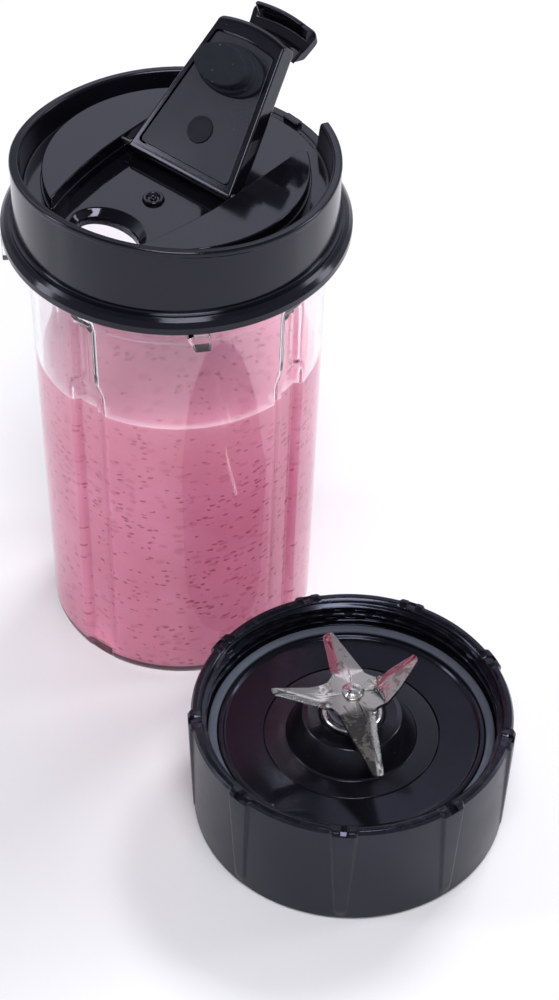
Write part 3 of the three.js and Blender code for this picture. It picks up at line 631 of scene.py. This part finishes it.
def make_cup(clear):
    angles = columns_for(96, FLUTE_TURNS, 0.21, 0.0085)
    outer = [(0.0, 0.0), (20.0, 0.0), (33.0, 0.0)]
    outer += [tuple(p) for p in arc_points(34.2, 4.9, 4.9, -90, -2, 12)]
    outer += [(cone_r(z), z) for z in np.arange(6.5, 104, 2.5)]
    outer += [(cone_r(z), z) for z in np.arange(104.5, 114.5, 0.5)]
    outer += [(cone_r(z), z) for z in np.arange(116, 132, 2.5)]
    outer += [(cone_r(z), z) for z in np.arange(132, 134.9, 0.4)]
    outer += [(cone_r(135), 135.0), (cone_r(135) + 0.42, 135.12), (cone_r(135.6) + 0.43, 135.7)]
    outer += [(42.38, 139.0), (42.43, 142.4), (42.0, 142.95), (40.9, 143.3), (40.45, 143.7)]
    outer += [(40.4, z) for z in np.arange(144.2, 152.6, 0.35)]
    top = [(40.3, 152.8), (39.9, 153.2), (38.7, 153.2), (38.3, 152.9)]
    inner = [(38.2, 152.0), (38.2, 147.0), (38.3, 144.5), (38.8, 142.5), (cone_r(140) - WALL, 140.0)]
    inner += [(cone_r(z) - WALL, z) for z in np.arange(137.5, 115, -2.5)]
    inner += [(cone_r(z) - WALL, z) for z in np.arange(114, 104, -0.5)]
    inner += [(cone_r(z) - WALL, z) for z in np.arange(103, 7.5, -2.5)]
    inner += [tuple(p) for p in arc_points(*CORNER, -6, -88, 8)]
    inner += [(24.0, 3.2), (12.0, 3.1), (0.0, 3.0)]
    split = len(outer)
    profile = outer + top + inner

    def change(r, z, t):
        rows = np.arange(len(profile))[:, None] * np.ones_like(r)
        is_out = (rows < split) & (r > 33.5) & (z < 140)
        is_in = (rows >= split + len(top)) & (r > 31) & (z < 140)
        cut = flute_share(r, z, t, 0, 0.9) * FLUTE_DEPTH * (1 - 0.45 * smoothstep(108, 113, z))
        fade = np.clip((z - 4.0) / 6.0, 0, 1)
        bulge = flute_share(r, z, t, 1.3, 1.1) * FLUTE_DEPTH * fade
        r = np.where(is_out, r - cut, np.where(is_in, r - bulge, r))
        neck = (rows < split) & (r > 40.2) & (z > 144)
        lift = thread_lift(z, t, 144.6, 151.8, THREAD_Z)
        return np.where(neck, r + lift * 1.45, r), z

    cup = revolve("cup_shell", profile, "cup", clear, angles, change=change, wrap=False)
    for k in range(4):
        mark = math.radians(7 + 90 * k)
        outline = fillet([(-1.5, 137.2, 0.5), (2.8, 137.2, 0.5), (2.8, 142.6, 0.45), (-3.8, 142.6, 0.45)], 3)
        rings = slab_rings(outline, 41.4, 48.7, 0.4, 0.05, 3)
        out = np.array((math.cos(mark), math.sin(mark), 0))
        along = np.array((-math.sin(mark), math.cos(mark), 0))
        points = rings[..., 2:3] * out + rings[..., 0:1] * along + rings[..., 1:2] * UP
        merge(cup, loft("lug_tool", points, "cup", clear, caps=(True, True)), "UNION")
    cup.visible_shadow = False
    stand_in(cup, "cup_body")


def make_smoothie(look):
    angles = columns_for(96, FLUTE_TURNS, 0.21, 0.012)
    tuck = 0.06
    side = [tuple(p) for p in arc_points(CORNER[0], CORNER[1], CORNER[2] + tuck, -88, -6, 8)]
    side += [(cone_r(z) - WALL + tuck, z) for z in np.arange(8.0, LEVEL_Z - 1, 2.5)]
    side += [(cone_r(LEVEL_Z) - WALL + tuck, LEVEL_Z - 0.2), (cone_r(LEVEL_Z) - WALL - 0.1, LEVEL_Z)]
    split = len(side)
    radii = (37.6, 36.8, 35.5, 33, 28, 20, 10, 0)
    surface = [(r, LEVEL_Z - 0.5 * (1 - math.exp(-(38.5 - r) / 1.2))) for r in radii]
    profile = [(0, 3.0 - tuck), (12, 3.1 - tuck), (24, 3.2 - tuck)] + side + surface

    def change(r, z, t):
        fade = np.clip((z - 4.0) / 6.0, 0, 1)
        bulge = flute_share(r, z, t, 1.3, 1.1) * FLUTE_DEPTH * fade
        rows = np.arange(len(profile))[:, None] * np.ones_like(r)
        near = np.where(rows < split + 3, 1.0, np.clip((r - 33) / 4.5, 0, 1))
        return np.where(r > 31, r - bulge * near, r), z

    revolve("smoothie", profile, "cup", look, angles, change=change, wrap=False)


# ---------- lid ----------
GAP_HALF = math.radians(25.5)
DECK_Z, SEGMENT_Z = 156.5, 162.7
RING_TOP = 166.07  # the height of the rim in the ring's profile, before the rim is curved
RIM_Z, RIM_SLOPE, RIM_RISE, RISE_FROM = 164.75, -0.0257, 0.00152, 12.8


def make_lid_ring(black):
    edges = [TURN - GAP_HALF, TURN + GAP_HALF]
    angles = columns_for(180, [e % TAU for e in edges], 0.05, 0.0035)
    wall = [
        (41.1, DECK_Z, 0), (41.9, DECK_Z + 0.05, 0.5), (42.05, DECK_Z + 1.6, 1), (42.35, 161.5, 0),
        (42.55, 164.6, 0.4), (42.75, RING_TOP, 0.75), (45.25, RING_TOP, 0.95), (45.3, 164.5, 0.3),
        (45.06, 164.2, 0.25), (45.1, 160.5, 0), (45.1, 154.0, 0), (45.1, 148.1, 0.5), (45.9, 147.85, 0.2),
        (46.6, 147.9, 0.3), (47.6, 147.0, 0.45), (48.65, 145.6, 0.45), (48.65, 143.3, 0.55),
        (46.5, 143.3, 0.3), (44.4, 143.3, 0.3), (42.6, 143.3, 0.4),
    ]
    outside = fillet(wall, 6, closed=False)
    threads = [(42.6, z) for z in np.arange(144.0, 153.9, 0.35)]
    under = [(42.2, 154.5), (41.1, 154.5)]
    profile = np.array([tuple(p) for p in outside] + threads + under)
    split = len(outside)

    def change(r, z, t):
        off = np.abs((t - TURN + math.pi) % TAU - math.pi)
        open_share = np.clip((off - GAP_HALF) * 44 / 1.0, 0, 1)
        open_share = np.sqrt(np.clip(1 - (1 - open_share) ** 2, 0, 1))
        x, y = r * np.cos(t), r * np.sin(t)
        u, v = x * U[0] + y * U[1], x * V[0] + y * V[1]
        rim = RIM_Z + RIM_SLOPE * v + RIM_RISE * np.clip(RISE_FROM - u, 0, None) ** 2
        high = DECK_Z + 0.02 + (rim - DECK_Z) * open_share
        part = np.clip((z - DECK_Z) / (RING_TOP - DECK_Z), 0, 1)
        near_top = high - (RING_TOP - z) * np.maximum(open_share, 0.15)
        lifted = np.where(z > 163.0, near_top, DECK_Z + (high - DECK_Z) * part)
        z2 = np.where(z > DECK_Z, lifted, z)
        rows = np.arange(len(profile))[:, None] * np.ones_like(r)
        inner = (rows >= split) & (rows < split + len(threads))
        lift = thread_lift(z, t, 144.2, 152.2, THREAD_Z + THREAD_PITCH / 2)
        return np.where(inner, r - lift * 1.5, r), z2

    ring = revolve("lid_ring", profile, "lid", black, angles, change=change, wrap=True)
    stand_in(ring, "lid_shell")


def make_lid_deck(black):
    """The deck disc, opened by the oval drinking hole, as rings round the hole's centre."""
    hole = np.array((-27.7, 0.0))
    angles = np.linspace(0, TAU, 144, endpoint=False)
    out = np.stack([np.cos(angles), np.sin(angles)], 1)
    along = out @ hole
    reach = -along + np.sqrt(along ** 2 - hole @ hole + 42.2 ** 2)
    rows = []

    def oval(a, b):
        return a * b / np.hypot(b * out[:, 0], a * out[:, 1])

    def row(r, z):
        rows.append(np.column_stack([hole + out * r[:, None], np.full(len(angles), z)]))

    mouth = oval(9.5, 12.1)
    for share in (1.0, 0.8, 0.6, 0.4, 0.25, 0.12, 0.05, 0.0):
        row(mouth + (reach - mouth) * share, DECK_Z)
    lip = [
        (9.15, 11.75, 156.46), (8.85, 11.45, 156.3), (7.6, 10.95, 155.6), (6.5, 10.5, 155.1),
        (6.15, 10.3, 154.9), (6.1, 10.1, 154.5), (6.05, 9.95, 153.9), (6.05, 9.95, 153.2),
        (6.0, 9.85, 152.85), (6.1, 9.95, 152.6), (7.2, 11.1, 152.6), (7.4, 11.3, 152.8),
        (7.45, 11.35, 154.5),
    ]
    for a, b, z in lip:
        row(oval(a, b), z)
    for share in (0.12, 0.4, 0.7, 1.0):
        row(mouth + (reach - mouth) * share, 154.5)
    deck = loft("lid_deck", from_lid(np.array(rows)), "lid", black, wrap=True)

    for side, name in ((1, "left"), (-1, "right")):
        arc = arc_points(0, 0, 36.6, math.degrees(math.asin(20.3 / 36.6)) + 3,
                         180 - math.degrees(math.asin(15.3 / 36.6)) - 3, 60)
        corner = [(arc[0][0] - 0.2, 20.3, 1.0)]
        body = [(x, y, 0) for x, y in arc]
        ends = [(-33.3, 15.3, 1.6), (-25.0, 17.4, 9), (-17.0, 18.9, 9), (-8.0, 20.0, 9), (0.0, 20.3, 2.0)]
        outline = fillet(corner + body + ends, 5)
        outline = resample(outline, 2.5)
        outline[:, 1] *= side
        if side < 0:
            outline = outline[::-1]
        foot = inset(outline, -0.45)
        low = slab_rings(foot, DECK_Z - 0.3, 159.3, 0.3, 0.05, 3)
        top = slab_rings(outline, 158.5, SEGMENT_Z, 0.45, 0.05, 4)
        for part, rings in (("foot", low), ("top", top)):
            piece = loft(f"lid_{name}_{part}", from_lid(rings), "lid", black, caps=(True, True))

    nub = fillet([
        (0, DECK_Z - 0.3, 0), (3.1, DECK_Z - 0.3, 0), (3.1, DECK_Z + 0.15, 0.2),
        (2.75, DECK_Z + 0.95, 0.35), (2.0, DECK_Z + 0.95, 0.3), (1.6, DECK_Z + 0.2, 0.2),
        (1.0, DECK_Z + 0.2, 0.1), (0.85, DECK_Z + 0.75, 0.2), (0.45, DECK_Z + 0.75, 0.1),
        (0.35, DECK_Z + 0.3, 0), (0, DECK_Z + 0.3, 0),
    ], 4, closed=False)
    at = -9.3 * U
    vent = revolve("lid_vent", nub, "lid", black, 48, (at[0], at[1]), wrap=False)

    block = fillet([(-1.1, -3, 0.5), (1.1, -3, 0.5), (1.1, 3, 0.5), (-1.1, 3, 0.5)], 3)
    rings = slab_rings(block, DECK_Z - 0.3, DECK_Z + 1.35, 0.3, 0.05, 3)
    aim = math.radians(40.4)
    out3 = np.array((math.cos(aim), math.sin(aim), 0))
    along3 = np.array((-math.sin(aim), math.cos(aim), 0))
    points = (43.2 + rings[..., 0:1]) * out3 + rings[..., 1:2] * along3 + rings[..., 2:3] * UP
    loft("lid_catch", points, "lid", black, caps=(True, True))


# ---------- flip cap ----------
def cap_half(s):
    return 18.5 + (11.8 - 18.5) * s / 43.0


def cap_section(s, top, low, half, r_top, r_low, shift):
    """One rounded cross-section of the cap as [s, v, h] points. shift(v) bends it along the tip's arc."""
    r_top = min(r_top, (top - low) * 0.45, half * 0.4)
    r_low = min(r_low, (top - low) * 0.45, half * 0.4)
    across = 15
    points = [(v, top) for v in np.linspace(-half + r_top, half - r_top, across)]
    points += [(half - r_top + r_top * math.sin(a), top - r_top + r_top * math.cos(a))
               for a in np.radians(np.linspace(15, 90, 6))]
    points += [(half, h) for h in np.linspace(top - r_top, low + r_low, 4)[1:-1]]
    points += [(half - r_low + r_low * math.cos(a), low + r_low - r_low * math.sin(a))
               for a in np.radians(np.linspace(0, 90, 6))]
    points += [(v, low) for v in np.linspace(half - r_low, -half + r_low, across)[1:]]
    points += [(-half + r_low - r_low * math.sin(a), low + r_low - r_low * math.cos(a))
               for a in np.radians(np.linspace(15, 90, 6))]
    points += [(-half, h) for h in np.linspace(low + r_low, top - r_top, 4)[1:-1]]
    points += [(-half + r_top - r_top * math.cos(a), top - r_top + r_top * math.sin(a))
               for a in np.radians(np.linspace(0, 75, 6))]
    return [(s + shift(v), v, h) for v, h in points]


def cap_rings():
    tip_s, thick, round_r, low_r = 45.15, 6.7, 1.8, 0.8
    levels = []
    for a in np.radians(np.linspace(3, 75, 7)):
        s = 1.05 - 1.95 * math.cos(a)
        levels.append((s, -1.87 + 1.95 * math.sin(a), -1.87 - 1.95 * math.sin(a), 0.0))
    for s in (1.2, 2.0, 3.0, 4.2, 5.0, 5.5, 6.0, 7.5, 10, 14, 18, 22, 26, 30, 33, 36, 38.5, 40.5, 42, 43):
        ramp = -3.75 - (thick - 3.75) * min(1.0, max(0.0, (s - 0.55) / 4.95))
        levels.append((s, 0.0, ramp, 0.0))
    for a in np.radians(np.linspace(8, 90, 9)):
        fall = 1 - math.cos(a)
        s = tip_s - round_r + round_r * math.sin(a)
        levels.append((s, -round_r * fall, -thick + low_r * fall, low_r * fall))
    rings = []
    for s, top, low, pull in levels:
        share = min(1.0, max(0.0, (s - 8) / 36.0)) ** 2
        bend = lambda v, share=share: share * (math.sqrt(41.6 ** 2 - v * v) - 41.6)
        rings.append(cap_section(s, top, low, cap_half(min(s, 43.0)) - pull, 0.7, 1.3, bend))
    return np.array(rings)


def panel_outline(grow):
    corners = [(2.9 - grow, -16.0 - grow, 1.2), (39.2 + grow, -10.1 - grow, 1.4), (40.5 + grow, 0.0, 60),
               (39.2 + grow, 10.1 + grow, 1.4), (2.9 - grow, 16.0 + grow, 1.2)]
    return resample(fillet(corners, 6), 2.0)


def plug_at(name, s, levels, rub, columns=72):
    """A rubber piece standing on the cap's inner face at s. levels: (half along s, half along v, height)."""
    angles = np.linspace(0, TAU, columns, endpoint=False)
    a, b, h = (column[:, None] for column in np.asarray(levels, float).T)
    rings = np.stack([s + a * np.cos(angles), b * np.sin(angles), h + 0 * angles], -1)
    piece = loft(name, from_cap(rings), "flip", rub)
    return piece


def make_flip_cap(black, satin, rub):
    body = loft("flip_cap_body", from_cap(cap_rings()), "flip", black, caps=(True, True))
    pocket = slab_rings(panel_outline(0.38), -1.7, 1.5, 0.02, 0.02, 1)
    tool = loft("pocket_tool", from_cap(pocket), "flip", black, caps=(True, True))
    merge(body, tool)
    edge = body.modifiers.new("edge", "BEVEL")
    edge.width = 0.00022
    edge.segments = 2
    edge.limit_method = "ANGLE"
    edge.angle_limit = math.radians(50)
    edge.harden_normals = False
    body.modifiers.move(len(body.modifiers) - 1, 0)
    stand_in(body, "flip_cap")

    plate = from_cap(slab_rings(panel_outline(0), -1.4, -0.22, 0.3, 0.05, 4))
    panel = loft("flip_panel", plate, "flip", satin, caps=(True, True))
    stand_in(panel, "flip_cap_panel")

    stop = [
        (0, 0, -1.0), (7.0, 11.2, -1.0), (7.0, 11.2, 0.6), (6.95, 11.05, 0.9), (6.75, 10.4, 1.12),
        (6.68, 9.7, 1.35), (6.66, 9.35, 1.8), (6.64, 9.3, 2.25), (6.4, 9.15, 2.48), (5.9, 9.02, 2.62),
        (5.68, 8.95, 2.9), (5.62, 8.9, 4.5), (5.58, 8.85, 6.1), (5.44, 8.7, 6.42), (5.1, 8.3, 6.62),
        (4.4, 7.5, 6.68), (0, 0, 6.66),
    ]
    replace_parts(plug_at("stopper", 31.05, stop, rub), "spout_stopper")
    small = fillet([
        (0, -1.0, 0), (3.7, -1.0, 0), (3.9, -0.4, 0.15), (3.85, 0.3, 0.25), (3.2, 0.22, 0.2),
        (2.9, 0.1, 0.2), (0, 0.12, 0),
    ], 4, closed=False)
    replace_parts(plug_at("vent_pad", 13.0, [(r, r, h) for r, h in small], rub, 48), "vent_plug")

    profile = fillet([
        (38.4, -5.4, 0.2), (41.4, -5.7, 0.3), (41.9, -8.2, 1.0), (41.95, -11.8, 0.3), (42.7, -12.6, 0.3),
        (45.5, -12.75, 0.35), (48.0, -7.75, 0.35), (48.9, -8.6, 0.35), (48.8, -13.2, 0.8),
        (47.9, -15.0, 0.7), (46.5, -15.2, 0.6), (41.0, -15.2, 1.2), (39.0, -12.2, 1.0),
    ], 4)
    half, hook_half, channel_h = 13.6, 10.9, -12.75
    sweep = np.concatenate([-half + half * 0.12 * (1 - np.cos(np.radians(np.linspace(0, 90, 8)))),
                            np.linspace(-half * 0.87, half * 0.87, 40),
                            half - half * 0.12 * (1 - np.cos(np.radians(np.linspace(90, 0, 8))))])
    rings = []
    for angle in sweep:
        edge_mm = (half - abs(angle)) * math.pi / 180 * 45
        hook_mm = (hook_half - abs(angle)) * math.pi / 180 * 48
        end_share = math.sqrt(max(0.0, 1 - (1 - min(1.0, edge_mm / 2.2)) ** 2))
        neck_share = smoothstep(0.6, 1.6, np.array(edge_mm)).item()
        hook_share = smoothstep(-0.5, 0.9, np.array(hook_mm)).item()
        r, h = profile[:, 0].copy(), profile[:, 1].copy()
        hook = (h > channel_h) & (r > 45.0)
        h = np.where(hook, channel_h + (h - channel_h) * hook_share, h)
        r = np.where(r > 44.0, 44.0 + (r - 44.0) * (0.65 + 0.35 * end_share), r)
        neck = (h > -12.2) & (r < 42.8)
        h = np.where(neck, -12.2 + (h + 12.2) * neck_share, h)
        turn = math.radians(angle)
        rings.append(np.stack([3.55 + r * math.cos(turn), r * math.sin(turn), h], 1))
    lip = loft("flip_lip", from_cap(np.array(rings)), "flip", black, caps=(True, True))


# ---------- blade base ----------
AXIS = (47.2, -86.6)
RIBS = [math.radians(24 + 40 * k) for k in range(9)]


def make_base(shell, gasket_look, hub_look):
    angles = columns_for(180, RIBS, 0.105, 0.0075)
    outer = [
        (42.3, 0.0, 0.3), (44.66, 0.0, 0.5), (44.8, 6.0, 0), (45.0, 14.0, 0), (45.15, 22.0, 0),
        (45.3, 30.0, 0), (45.44, 36.9, 0.6), (44.8, 38.0, 0.35), (43.6, 38.0, 0.3), (42.75, 37.7, 0.3),
    ]
    outside = resample_open(fillet(outer, 5, closed=False), 1.2)
    bore = [(42.4, z) for z in np.arange(37.2, 28.2, -0.15)]
    dish = fillet([
        (42.4, 28.0, 0), (42.3, 27.7, 0.2), (37.95, 27.7, 0.1), (37.9, 29.0, 0.5), (36.6, 29.05, 0.5),
        (35.9, 28.35, 0.6), (34.5, 28.3, 0), (30, 28.15, 0), (25.1, 28.0, 0.1), (25.1, 26.0, 0),
        (21.3, 26.0, 0), (21.3, 24.2, 0), (18.7, 24.2, 0), (18.7, 26.0, 0), (12.9, 26.0, 0),
        (12.9, 22.0, 0.2), (26.5, 22.0, 0.3), (27.5, 25.0, 1.0), (40.2, 25.2, 1.0), (42.2, 23.5, 0.8),
    ], 5, closed=False)
    inside = [(42.2, z) for z in (18, 10, 4)]
    profile = np.array([tuple(p) for p in outside] + bore + [tuple(p) for p in dish] + inside)
    first, second = len(outside), len(outside) + len(bore)

    def change(r, z, t):
        rows = np.arange(len(profile))[:, None] * np.ones_like(r)
        tip_z, tip_half, top_half = 2.2, 1.75, 3.65
        half = tip_half + (top_half - tip_half) * (z - tip_z) / (38 - tip_z)
        away = np.full_like(r, 99.0)
        for mark in RIBS:
            away = np.minimum(away, np.abs((t - mark + math.pi) % TAU - math.pi) * 45.2)
        corner = np.clip((z - tip_z) / 1.4, 0, 1)
        half = half * np.sqrt(np.clip(1 - (1 - corner) ** 2, 0, 1))
        share = np.clip((half + 0.30 - away) / 0.75, 0, 1) * (z > tip_z)
        share = share * share * (3 - 2 * share)
        proud = 0.35 + 0.55 * np.clip((z - tip_z) / 30, 0, 1)
        is_out = (rows < first) & (r > 43.2)
        r2 = np.where(is_out, r + share * proud, r)
        pocket = (rows < first) & (z > 37.5) & (r > 43.5) & (r < 45.4)
        dip = np.clip((1.3 - away) / 0.3, 0, 1)
        z2 = np.where(pocket, z - dip * (0.7 + 0.45 * (r - 43.5)), z)
        is_bore = (rows >= first) & (rows < second)
        lift = thread_lift(z, t, 29.6, 36.9, 31.4)
        return np.where(is_bore, r2 - lift * 1.35, r2), z2

    satin = [1.0 if i < first and profile[i][1] < 37 else 0.0 for i in range(len(profile))]
    base = revolve("base_shell", profile, "blade_base", shell, angles, AXIS, change, True, ("satin", satin))
    stand_in(base, "base_housing")

    ring = fillet([
        (38.15, 28.05, 0.2), (40.6, 28.05, 0.2), (40.65, 29.2, 0.45), (40.0, 29.45, 0.3),
        (39.0, 29.4, 0.3), (38.1, 29.1, 0.5),
    ], 4)
    seal = revolve("base_seal", ring, "blade_base", gasket_look, 144, AXIS)
    stand_in(seal, "base_gasket")

    cone = fillet([
        (6.15, 9.8, 0), (12.3, 9.8, 0.3), (12.3, 26.3, 0.1), (24.8, 26.3, 0), (24.8, 27.98, 0.25),
        (21.5, 28.02, 0), (18.75, 28.02, 0.3), (18.35, 28.5, 0.25), (15.2, 34.0, 0), (14.1, 35.9, 0.7),
        (12.6, 36.2, 0.4), (9.6, 36.15, 0.3), (8.9, 35.5, 0.2), (6.15, 35.5, 0),
    ], 5)
    hub = revolve("hub", cone, "blade_base", hub_look, 120, AXIS)
    stand_in(hub, "blade_hub")


def make_spindle(bright, seal_look):
    bush = fillet([
        (4.08, 29.7, 0), (6, 29.7, 0), (6, 35.8, 0), (8.5, 35.8, 0.1), (8.5, 36.9, 0.4), (8.0, 37.3, 0.4),
        (7.3, 37.3, 0.3), (6.9, 36.9, 0.2), (6.9, 36.4, 0.1), (4.08, 36.4, 0),
    ], 4)
    piece = revolve("bush_ring", bush, "blade_base", bright, 72, AXIS)
    stand_in(piece, "upper_bushing")
    washer = fillet([
        (4.3, 36.7, 0), (6.6, 36.7, 0.1), (6.6, 37.3, 0.25), (6.2, 37.5, 0.2), (4.5, 37.5, 0.15),
    ], 4)
    piece = revolve("shaft_washer", washer, "blade_base", seal_look, 72, AXIS)
    stand_in(piece, "shaft_seal")
    shaft = fillet([
        (0, 2.0, 0), (2.3, 2.0, 0.3), (2.3, 7.0, 0), (4.0, 7.0, 0.1), (4.0, 7.4, 0), (2.6, 7.4, 0),
        (2.6, 8.6, 0), (4.0, 8.6, 0), (4.0, 37.7, 0.2), (2.3, 37.7, 0), (2.3, 44.55, 0), (3.1, 44.6, 0.15),
        (3.15, 45.2, 0.35), (2.2, 46.1, 0.7), (0.8, 46.25, 0.4), (0, 46.15, 0),
    ], 4, closed=False)

    def peened(r, z, t):
        wave = 1 + 0.035 * np.sin(3 * t + 0.7) + 0.03 * np.sin(5 * t)
        top = z > 44.5
        sag = 0.12 * np.cos(2 * t + 1) * r / 2.6
        return np.where(top, r * wave, r), np.where(top & (r < 2.6), z - sag, z)

    piece = revolve("shaft", shaft, "rotor", bright, 60, AXIS, peened, False)
    stand_in(piece, "drive_shaft")


BEND_R, GROUND_WIDTH = 7.4, 2.1
TOOTH_WAVE = 7.5  # radians of the ground edge's wave
BLADE_TOP, BLADE_LOW = 44.5, 43.3
# Each arm: its turn, its bend, its length, the softness of its bend and its outline across the arm.
TIP = [(28.0, -0.7, 0.9), (28.1, 0.9, 0.8), (27.6, 2.2, 0.6), (7.2, 4.4, 1.8)]
ARMS = [
    (0, -12, 28.0, 0.6, [(6.5, -4.8, 0.9)] + TIP),
    (90, 23, 24.6, 2.0, [(6.0, -5.2, 1.6), (12.0, -2.9, 8), (24.6, -0.6, 0.5), (24.9, 0.2, 0.5),
                         (24.0, 1.2, 0.5), (7.2, 4.4, 1.8)]),
    (180, -12, 28.0, 0.4, [(6.5, -6.0, 0.9)] + TIP),
    (270, 48, 22.4, 1.6, [(6.5, -6.2, 0.9), (14.0, -4.9, 5), (22.4, -1.6, 0.8), (22.7, 0.2, 0.8),
                          (22.1, 1.8, 0.6), (14.0, 3.6, 6), (7.2, 4.4, 1.8)]),
]


def make_blade(look):
    """The four-armed cutter: a star outline, flat over the hub, with each arm bent at the hub's edge."""
    star = []
    for turn, _, _, _, local in ARMS:
        a = math.radians(turn)
        for x, y, r in local:
            star.append((x * math.cos(a) - y * math.sin(a), x * math.sin(a) + y * math.cos(a), r))
    outline = resample(fillet(star, 6), 0.28)
    share = np.array([0.0, 0.15, 0.3, 0.45, 0.6, 0.72, 0.82, 0.9, 0.95, 1.0])
    bore = outline / np.linalg.norm(outline, axis=1)[:, None] * 2.6
    flat = bore[None] + (outline - bore)[None] * share[:, None, None]
    ground = np.zeros(flat.shape[:2])
    stroke_and_glint = np.zeros(flat.shape[:2])
    lift = np.zeros(flat.shape[:2])
    shift = np.zeros(flat.shape)
    thin = np.zeros(flat.shape[:2])
    for turn, bend, length, soft, local in ARMS:
        a, b = math.radians(turn), math.radians(bend)
        arm, side = np.array((math.cos(a), math.sin(a))), np.array((-math.sin(a), math.cos(a)))
        x, y = flat @ arm, flat @ side
        past = np.clip(x - BEND_R, 0, None)
        ease = np.where(past < soft, past ** 2 / (2 * soft), past - soft / 2)
        on_arm = x > BEND_R - 0.01
        lift = np.where(on_arm, math.sin(b) * ease, lift)
        back = (math.cos(b) - 1) * ease
        shift = np.where(on_arm[..., None], back[..., None] * arm, shift)
        tip_y = max(point[1] for point in local if point[0] > 20)
        edge = 4.6 - (4.6 - tip_y) * (x - 7.0) / (length - 7.4)
        depth = edge - y
        is_ground = on_arm & (x > BEND_R + 1.5)
        strip = np.clip((GROUND_WIDTH - depth) / 0.35, 0, 1)
        ground = np.where(is_ground, strip, ground)
        wave = np.sin(x * TOOTH_WAVE)
        # The tooth wave also drives the ground strip's painted highlight and painted shade in the blade's
        # material.
        stroke_and_glint = np.where(is_ground, 0.5 + 0.5 * wave, stroke_and_glint)
        tooth = 0.13 * wave * np.clip((0.5 - depth) / 0.5, 0, 1)
        shift = np.where(is_ground[..., None], shift + tooth[..., None] * side, shift)
        thin = np.where(is_ground, np.clip((GROUND_WIDTH - depth) / GROUND_WIDTH, 0, 1), thin)
    plan = flat + shift
    spin = math.radians(100.6)
    x = AXIS[0] + plan[..., 0] * math.cos(spin) - plan[..., 1] * math.sin(spin)
    y = AXIS[1] + plan[..., 0] * math.sin(spin) + plan[..., 1] * math.cos(spin)
    top = np.stack([x, y, BLADE_TOP + lift - 0.75 * thin], -1)
    low = np.stack([x, y, BLADE_LOW + lift], -1)
    rim_top, rim_low = top[-1] - [0, 0, 0.12], low[-1] + [0, 0, 0.12]
    rings = np.concatenate([low, rim_low[None], rim_top[None], top[::-1]])
    extra = {"ground": np.concatenate([ground, ground[-1:], ground[-1:], ground[::-1]]),
             "stroke_and_glint": np.concatenate([stroke_and_glint, stroke_and_glint[-1:], stroke_and_glint[-1:], stroke_and_glint[::-1]])}
    blade = loft("blade", rings, "rotor", look, wrap=True, weld=False, attributes=extra)
    stand_in(blade, "blade_set")


# ---------- carried-over CAD pieces ----------
def finish_nodes(looks):
    for name, mat in looks.items():
        node = NODES[name]
        node.data.materials.clear()
        node.data.materials.append(mat)
        shade(node.data, 35)
        edge = node.modifiers.new("edge", "BEVEL")
        edge.width = 0.00015
        edge.segments = 2
        edge.limit_method = "ANGLE"
        edge.angle_limit = math.radians(40)


# ---------- build ----------
bpy.context.scene.view_settings.view_transform = "Standard"
add_camera()
add_world()
add_lights()
add_floor()

gloss = moulded("gloss_black", (0.0035, 0.0035, 0.0055), 0.09, 0.04, 0.04, 0.035, 0.25)
ring_black = moulded("ring_black", (0.0045, 0.0045, 0.0075), 0.13, 0.04, 0.05, 0.03, 0.15, 0.41)
satin = moulded("satin_black", (0.007, 0.007, 0.010), 0.30, 0.06, 0.06, 0.04, 0.2)
hub_black = moulded("hub_black", (0.004, 0.004, 0.006), 0.20, 0.07, 0.12, 0.05, 0.4)
nylon = moulded("black_nylon", (0.022, 0.022, 0.026), 0.45, 0.08, 0.15, 0.03)
rub = rubber("black_rubber", (0.009, 0.011, 0.018), 0.35, 0.10)
silicone = rubber("grey_silicone", (0.075, 0.085, 0.115), 0.10, 0.05)
washer_grey = rubber("washer_grey", (0.16, 0.17, 0.21), 0.10, 0.05)
clear = clear_plastic()
bright = steel("bright_steel", (0.62, 0.61, 0.61), 0.22, (1, 1, 6), 0.25)
mild = steel("plain_steel", (0.52, 0.52, 0.53), 0.30, (1, 1, 6), 0.2)
bronze = steel("bronze", (0.42, 0.27, 0.15), 0.38, (1, 1, 3), 0.3)

make_cup(clear)
make_smoothie(smoothie_look())
make_lid_ring(ring_black)
make_lid_deck(gloss)
make_flip_cap(gloss, satin, rub)
make_base(scuffed("base_black"), silicone, hub_black)
make_spindle(bright, washer_grey)
make_blade(blade_look())
finish_nodes({
    "lid_gasket": silicone, "hinge_pin": mild, "hub_o_ring": rub, "hub_nut": nylon, "bearing_spacer": mild,
    "lower_bushing": bronze, "blade_spacer": mild, "thrust_washer": nylon, "retaining_clip": mild,
    "drive_coupling": nylon,
})
